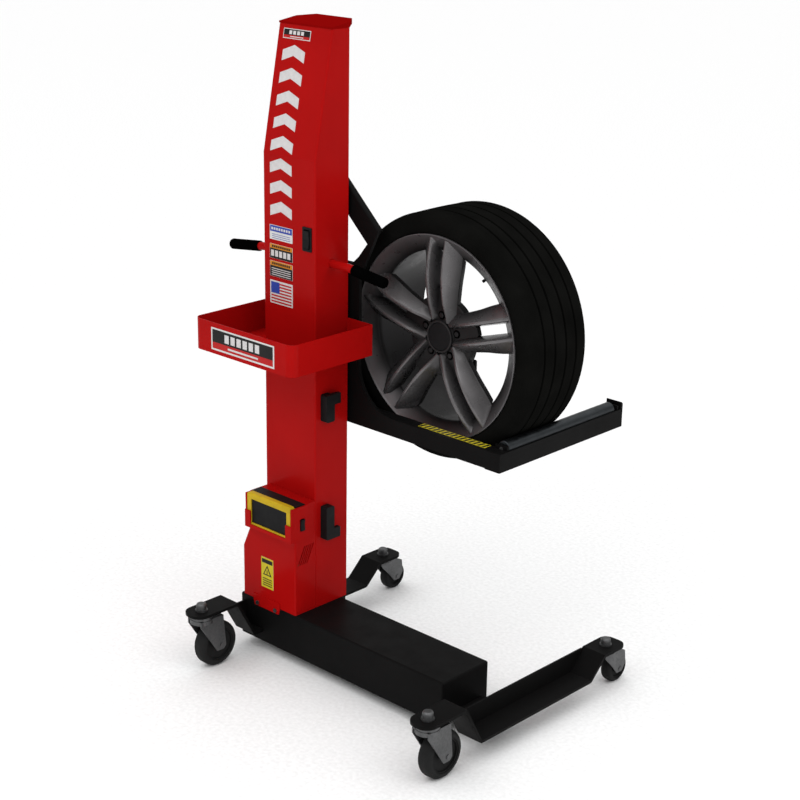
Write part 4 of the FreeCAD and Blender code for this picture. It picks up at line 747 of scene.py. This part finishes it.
def hazard_plate(name, box):
    """Yellow plate with a black bar, a warning triangle and thin lines."""
    plate = Plate(name, box)
    plate.put("ground", "yellow", [plate.part(0, 1, 0, 1)])
    plate.put("bar", "black", [plate.part(0.06, 0.94, 0.82, 0.95)], layer=2)
    plate.put("triangle_black", "black", [triangle_points(plate, 1.0)], layer=2)
    plate.put("triangle_yellow", "yellow", [triangle_points(plate, 0.66)], layer=3)
    plate.put("stroke", "black", [plate.part(0.47, 0.53, 0.46, 0.60)], layer=4)
    plate.put("lines", "black", plate.lines(4, 0.4, 0.12, 0.88, 0.07, 0.36), layer=2)


def make_plates():
    """The seven plates on the column, tray and housing, each with its own print."""
    top, notice, load, warning, striped, tray, hazard = plates_of("column_labels")
    banded_plate("top_plate", top, blocks=4)
    notice_plate("notice_plate", notice)
    warning_plate("load_plate", load, rows=1)
    warning_plate("warning_plate", warning, rows=4)
    striped_plate("striped_plate", striped)
    banded_plate("tray_plate", tray, blocks=6)
    hazard_plate("hazard_plate", hazard)


def flat_block(builder, corners, low, height):
    """A flat block that stands up from a height, from an outline of (x, y) points."""
    loft(builder, [[(x, y, z) for x, y in corners] for z in (low, low + height)])


def arm_strip():
    """Yellow strip with slanting black marks on the top of the cross arm, near the forks."""
    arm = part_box("cross_arm")
    top = arm[1].z
    right = arm[1].x - STRIP_END_GAP
    left = right - STRIP_LENGTH
    near = arm[0].y + STRIP_EDGE
    far = near + STRIP_WIDTH
    ground = bmesh.new()
    flat_block(ground, [(left, near), (right, near), (right, far), (left, far)], top, LAYER)
    marks = bmesh.new()
    pitch = STRIP_LENGTH / STRIP_MARKS
    gap = pitch * 0.1
    width = pitch * 0.52
    slant = pitch * 0.3
    mark_near = near + STRIP_EDGE
    mark_far = far - STRIP_EDGE
    for index in range(STRIP_MARKS):
        start = left + pitch * index + gap
        end = start + width
        flat_block(marks, [(start, mark_near), (end, mark_near), (end + slant, mark_far),
                           (start + slant, mark_far)], top, 2 * LAYER)
    new_piece("arm_strip_ground", ground, INK["yellow"], "carriage")
    new_piece("arm_strip_marks", marks, INK["black"], "carriage")


# ---------------------------------------------------------------- stage, light, camera
FLOOR_SIZE = 30.0
SKY_STRENGTH = 1.45
# height of a direction in the sky, brightness there
SKY_BANDS = ((0.0, 0.60), (0.19, 0.56), (0.30, 0.17), (0.42, 0.20), (0.75, 1.0))
LAMP_SIZE = 2.4
# name, place from the middle of the machine, power
LAMPS = (("key", (0.8, -3.6, 2.6), 30), ("side", (3.8, 0.4, 2.2), 22))
CAMERA_PLACE = (2.9708, -3.1670, 2.2413)
CAMERA_TURN = math.radians(43.23)   # from +Y towards -X
CAMERA_TILT = math.radians(18.87)   # downwards
CAMERA_ROLL = math.radians(0.94)
CAMERA_LENS = 77.58                 # millimetres, on a sensor 36 millimetres wide
CAMERA_SENSOR = 36.0


def make_stage():
    """A pale floor under the machine."""
    builder = bmesh.new()
    bmesh.ops.create_grid(builder, x_segments=1, y_segments=1, size=FLOOR_SIZE)
    floor = new_object("floor", builder, printed("floor", (0.95, 0.95, 0.95), roughness=0.9))


def make_sky():
    """A white studio sky, bright overhead, with a dim band above a pale horizon."""
    world = bpy.data.worlds.new("studio")
    bpy.context.scene.world = world
    world.use_nodes = True
    tree = world.node_tree
    background = tree.nodes["Background"]
    background.inputs["Strength"].default_value = SKY_STRENGTH
    direction = tree.nodes.new("ShaderNodeTexCoord").outputs["Generated"]
    height = tree.nodes.new("ShaderNodeSeparateXYZ")
    bands = tree.nodes.new("ShaderNodeValToRGB")
    set_stops(bands.color_ramp, [(place, (grey, grey, grey)) for place, grey in SKY_BANDS])
    tree.links.new(direction, height.inputs["Vector"])
    tree.links.new(height.outputs["Z"], bands.inputs["Fac"])
    tree.links.new(bands.outputs["Color"], background.inputs["Color"])


def make_lamps():
    """Soft square lamps that face the middle of the machine."""
    middle = (CAD_BOX[0] + CAD_BOX[1]) / 2
    for name, offset, power in LAMPS:
        data = bpy.data.lights.new(name, "AREA")
        data.size = LAMP_SIZE
        data.energy = power
        lamp = bpy.data.objects.new(name, data)
        lamp.location = middle + Vector(offset)
        lamp.rotation_euler = (middle - lamp.location).to_track_quat("-Z", "Y").to_euler()
        bpy.context.collection.objects.link(lamp)


def make_camera():
    """Camera on the operator's side, to the right of the machine and above its top."""
    forward = Vector((-math.sin(CAMERA_TURN) * math.cos(CAMERA_TILT),
                      math.cos(CAMERA_TURN) * math.cos(CAMERA_TILT), -math.sin(CAMERA_TILT)))
    right = Vector((math.cos(CAMERA_TURN), math.sin(CAMERA_TURN), 0))
    up = right.cross(forward)
    rolled_right = right * math.cos(CAMERA_ROLL) + up * math.sin(CAMERA_ROLL)
    rolled_up = -right * math.sin(CAMERA_ROLL) + up * math.cos(CAMERA_ROLL)
    data = bpy.data.cameras.new("camera")
    data.lens = CAMERA_LENS
    data.sensor_width = CAMERA_SENSOR
    camera = bpy.data.objects.new("camera", data)
    matrix = Matrix((rolled_right, rolled_up, -forward)).transposed().to_4x4()
    matrix.translation = Vector(CAMERA_PLACE)
    camera.matrix_world = matrix
    bpy.context.collection.objects.link(camera)
    bpy.context.scene.camera = camera


dress_nodes()
make_rim()
column_graphic()
make_plates()
arm_strip()
make_stage()
make_sky()
make_lamps()
make_camera()
bpy.context.scene.view_settings.view_transform = "Standard"
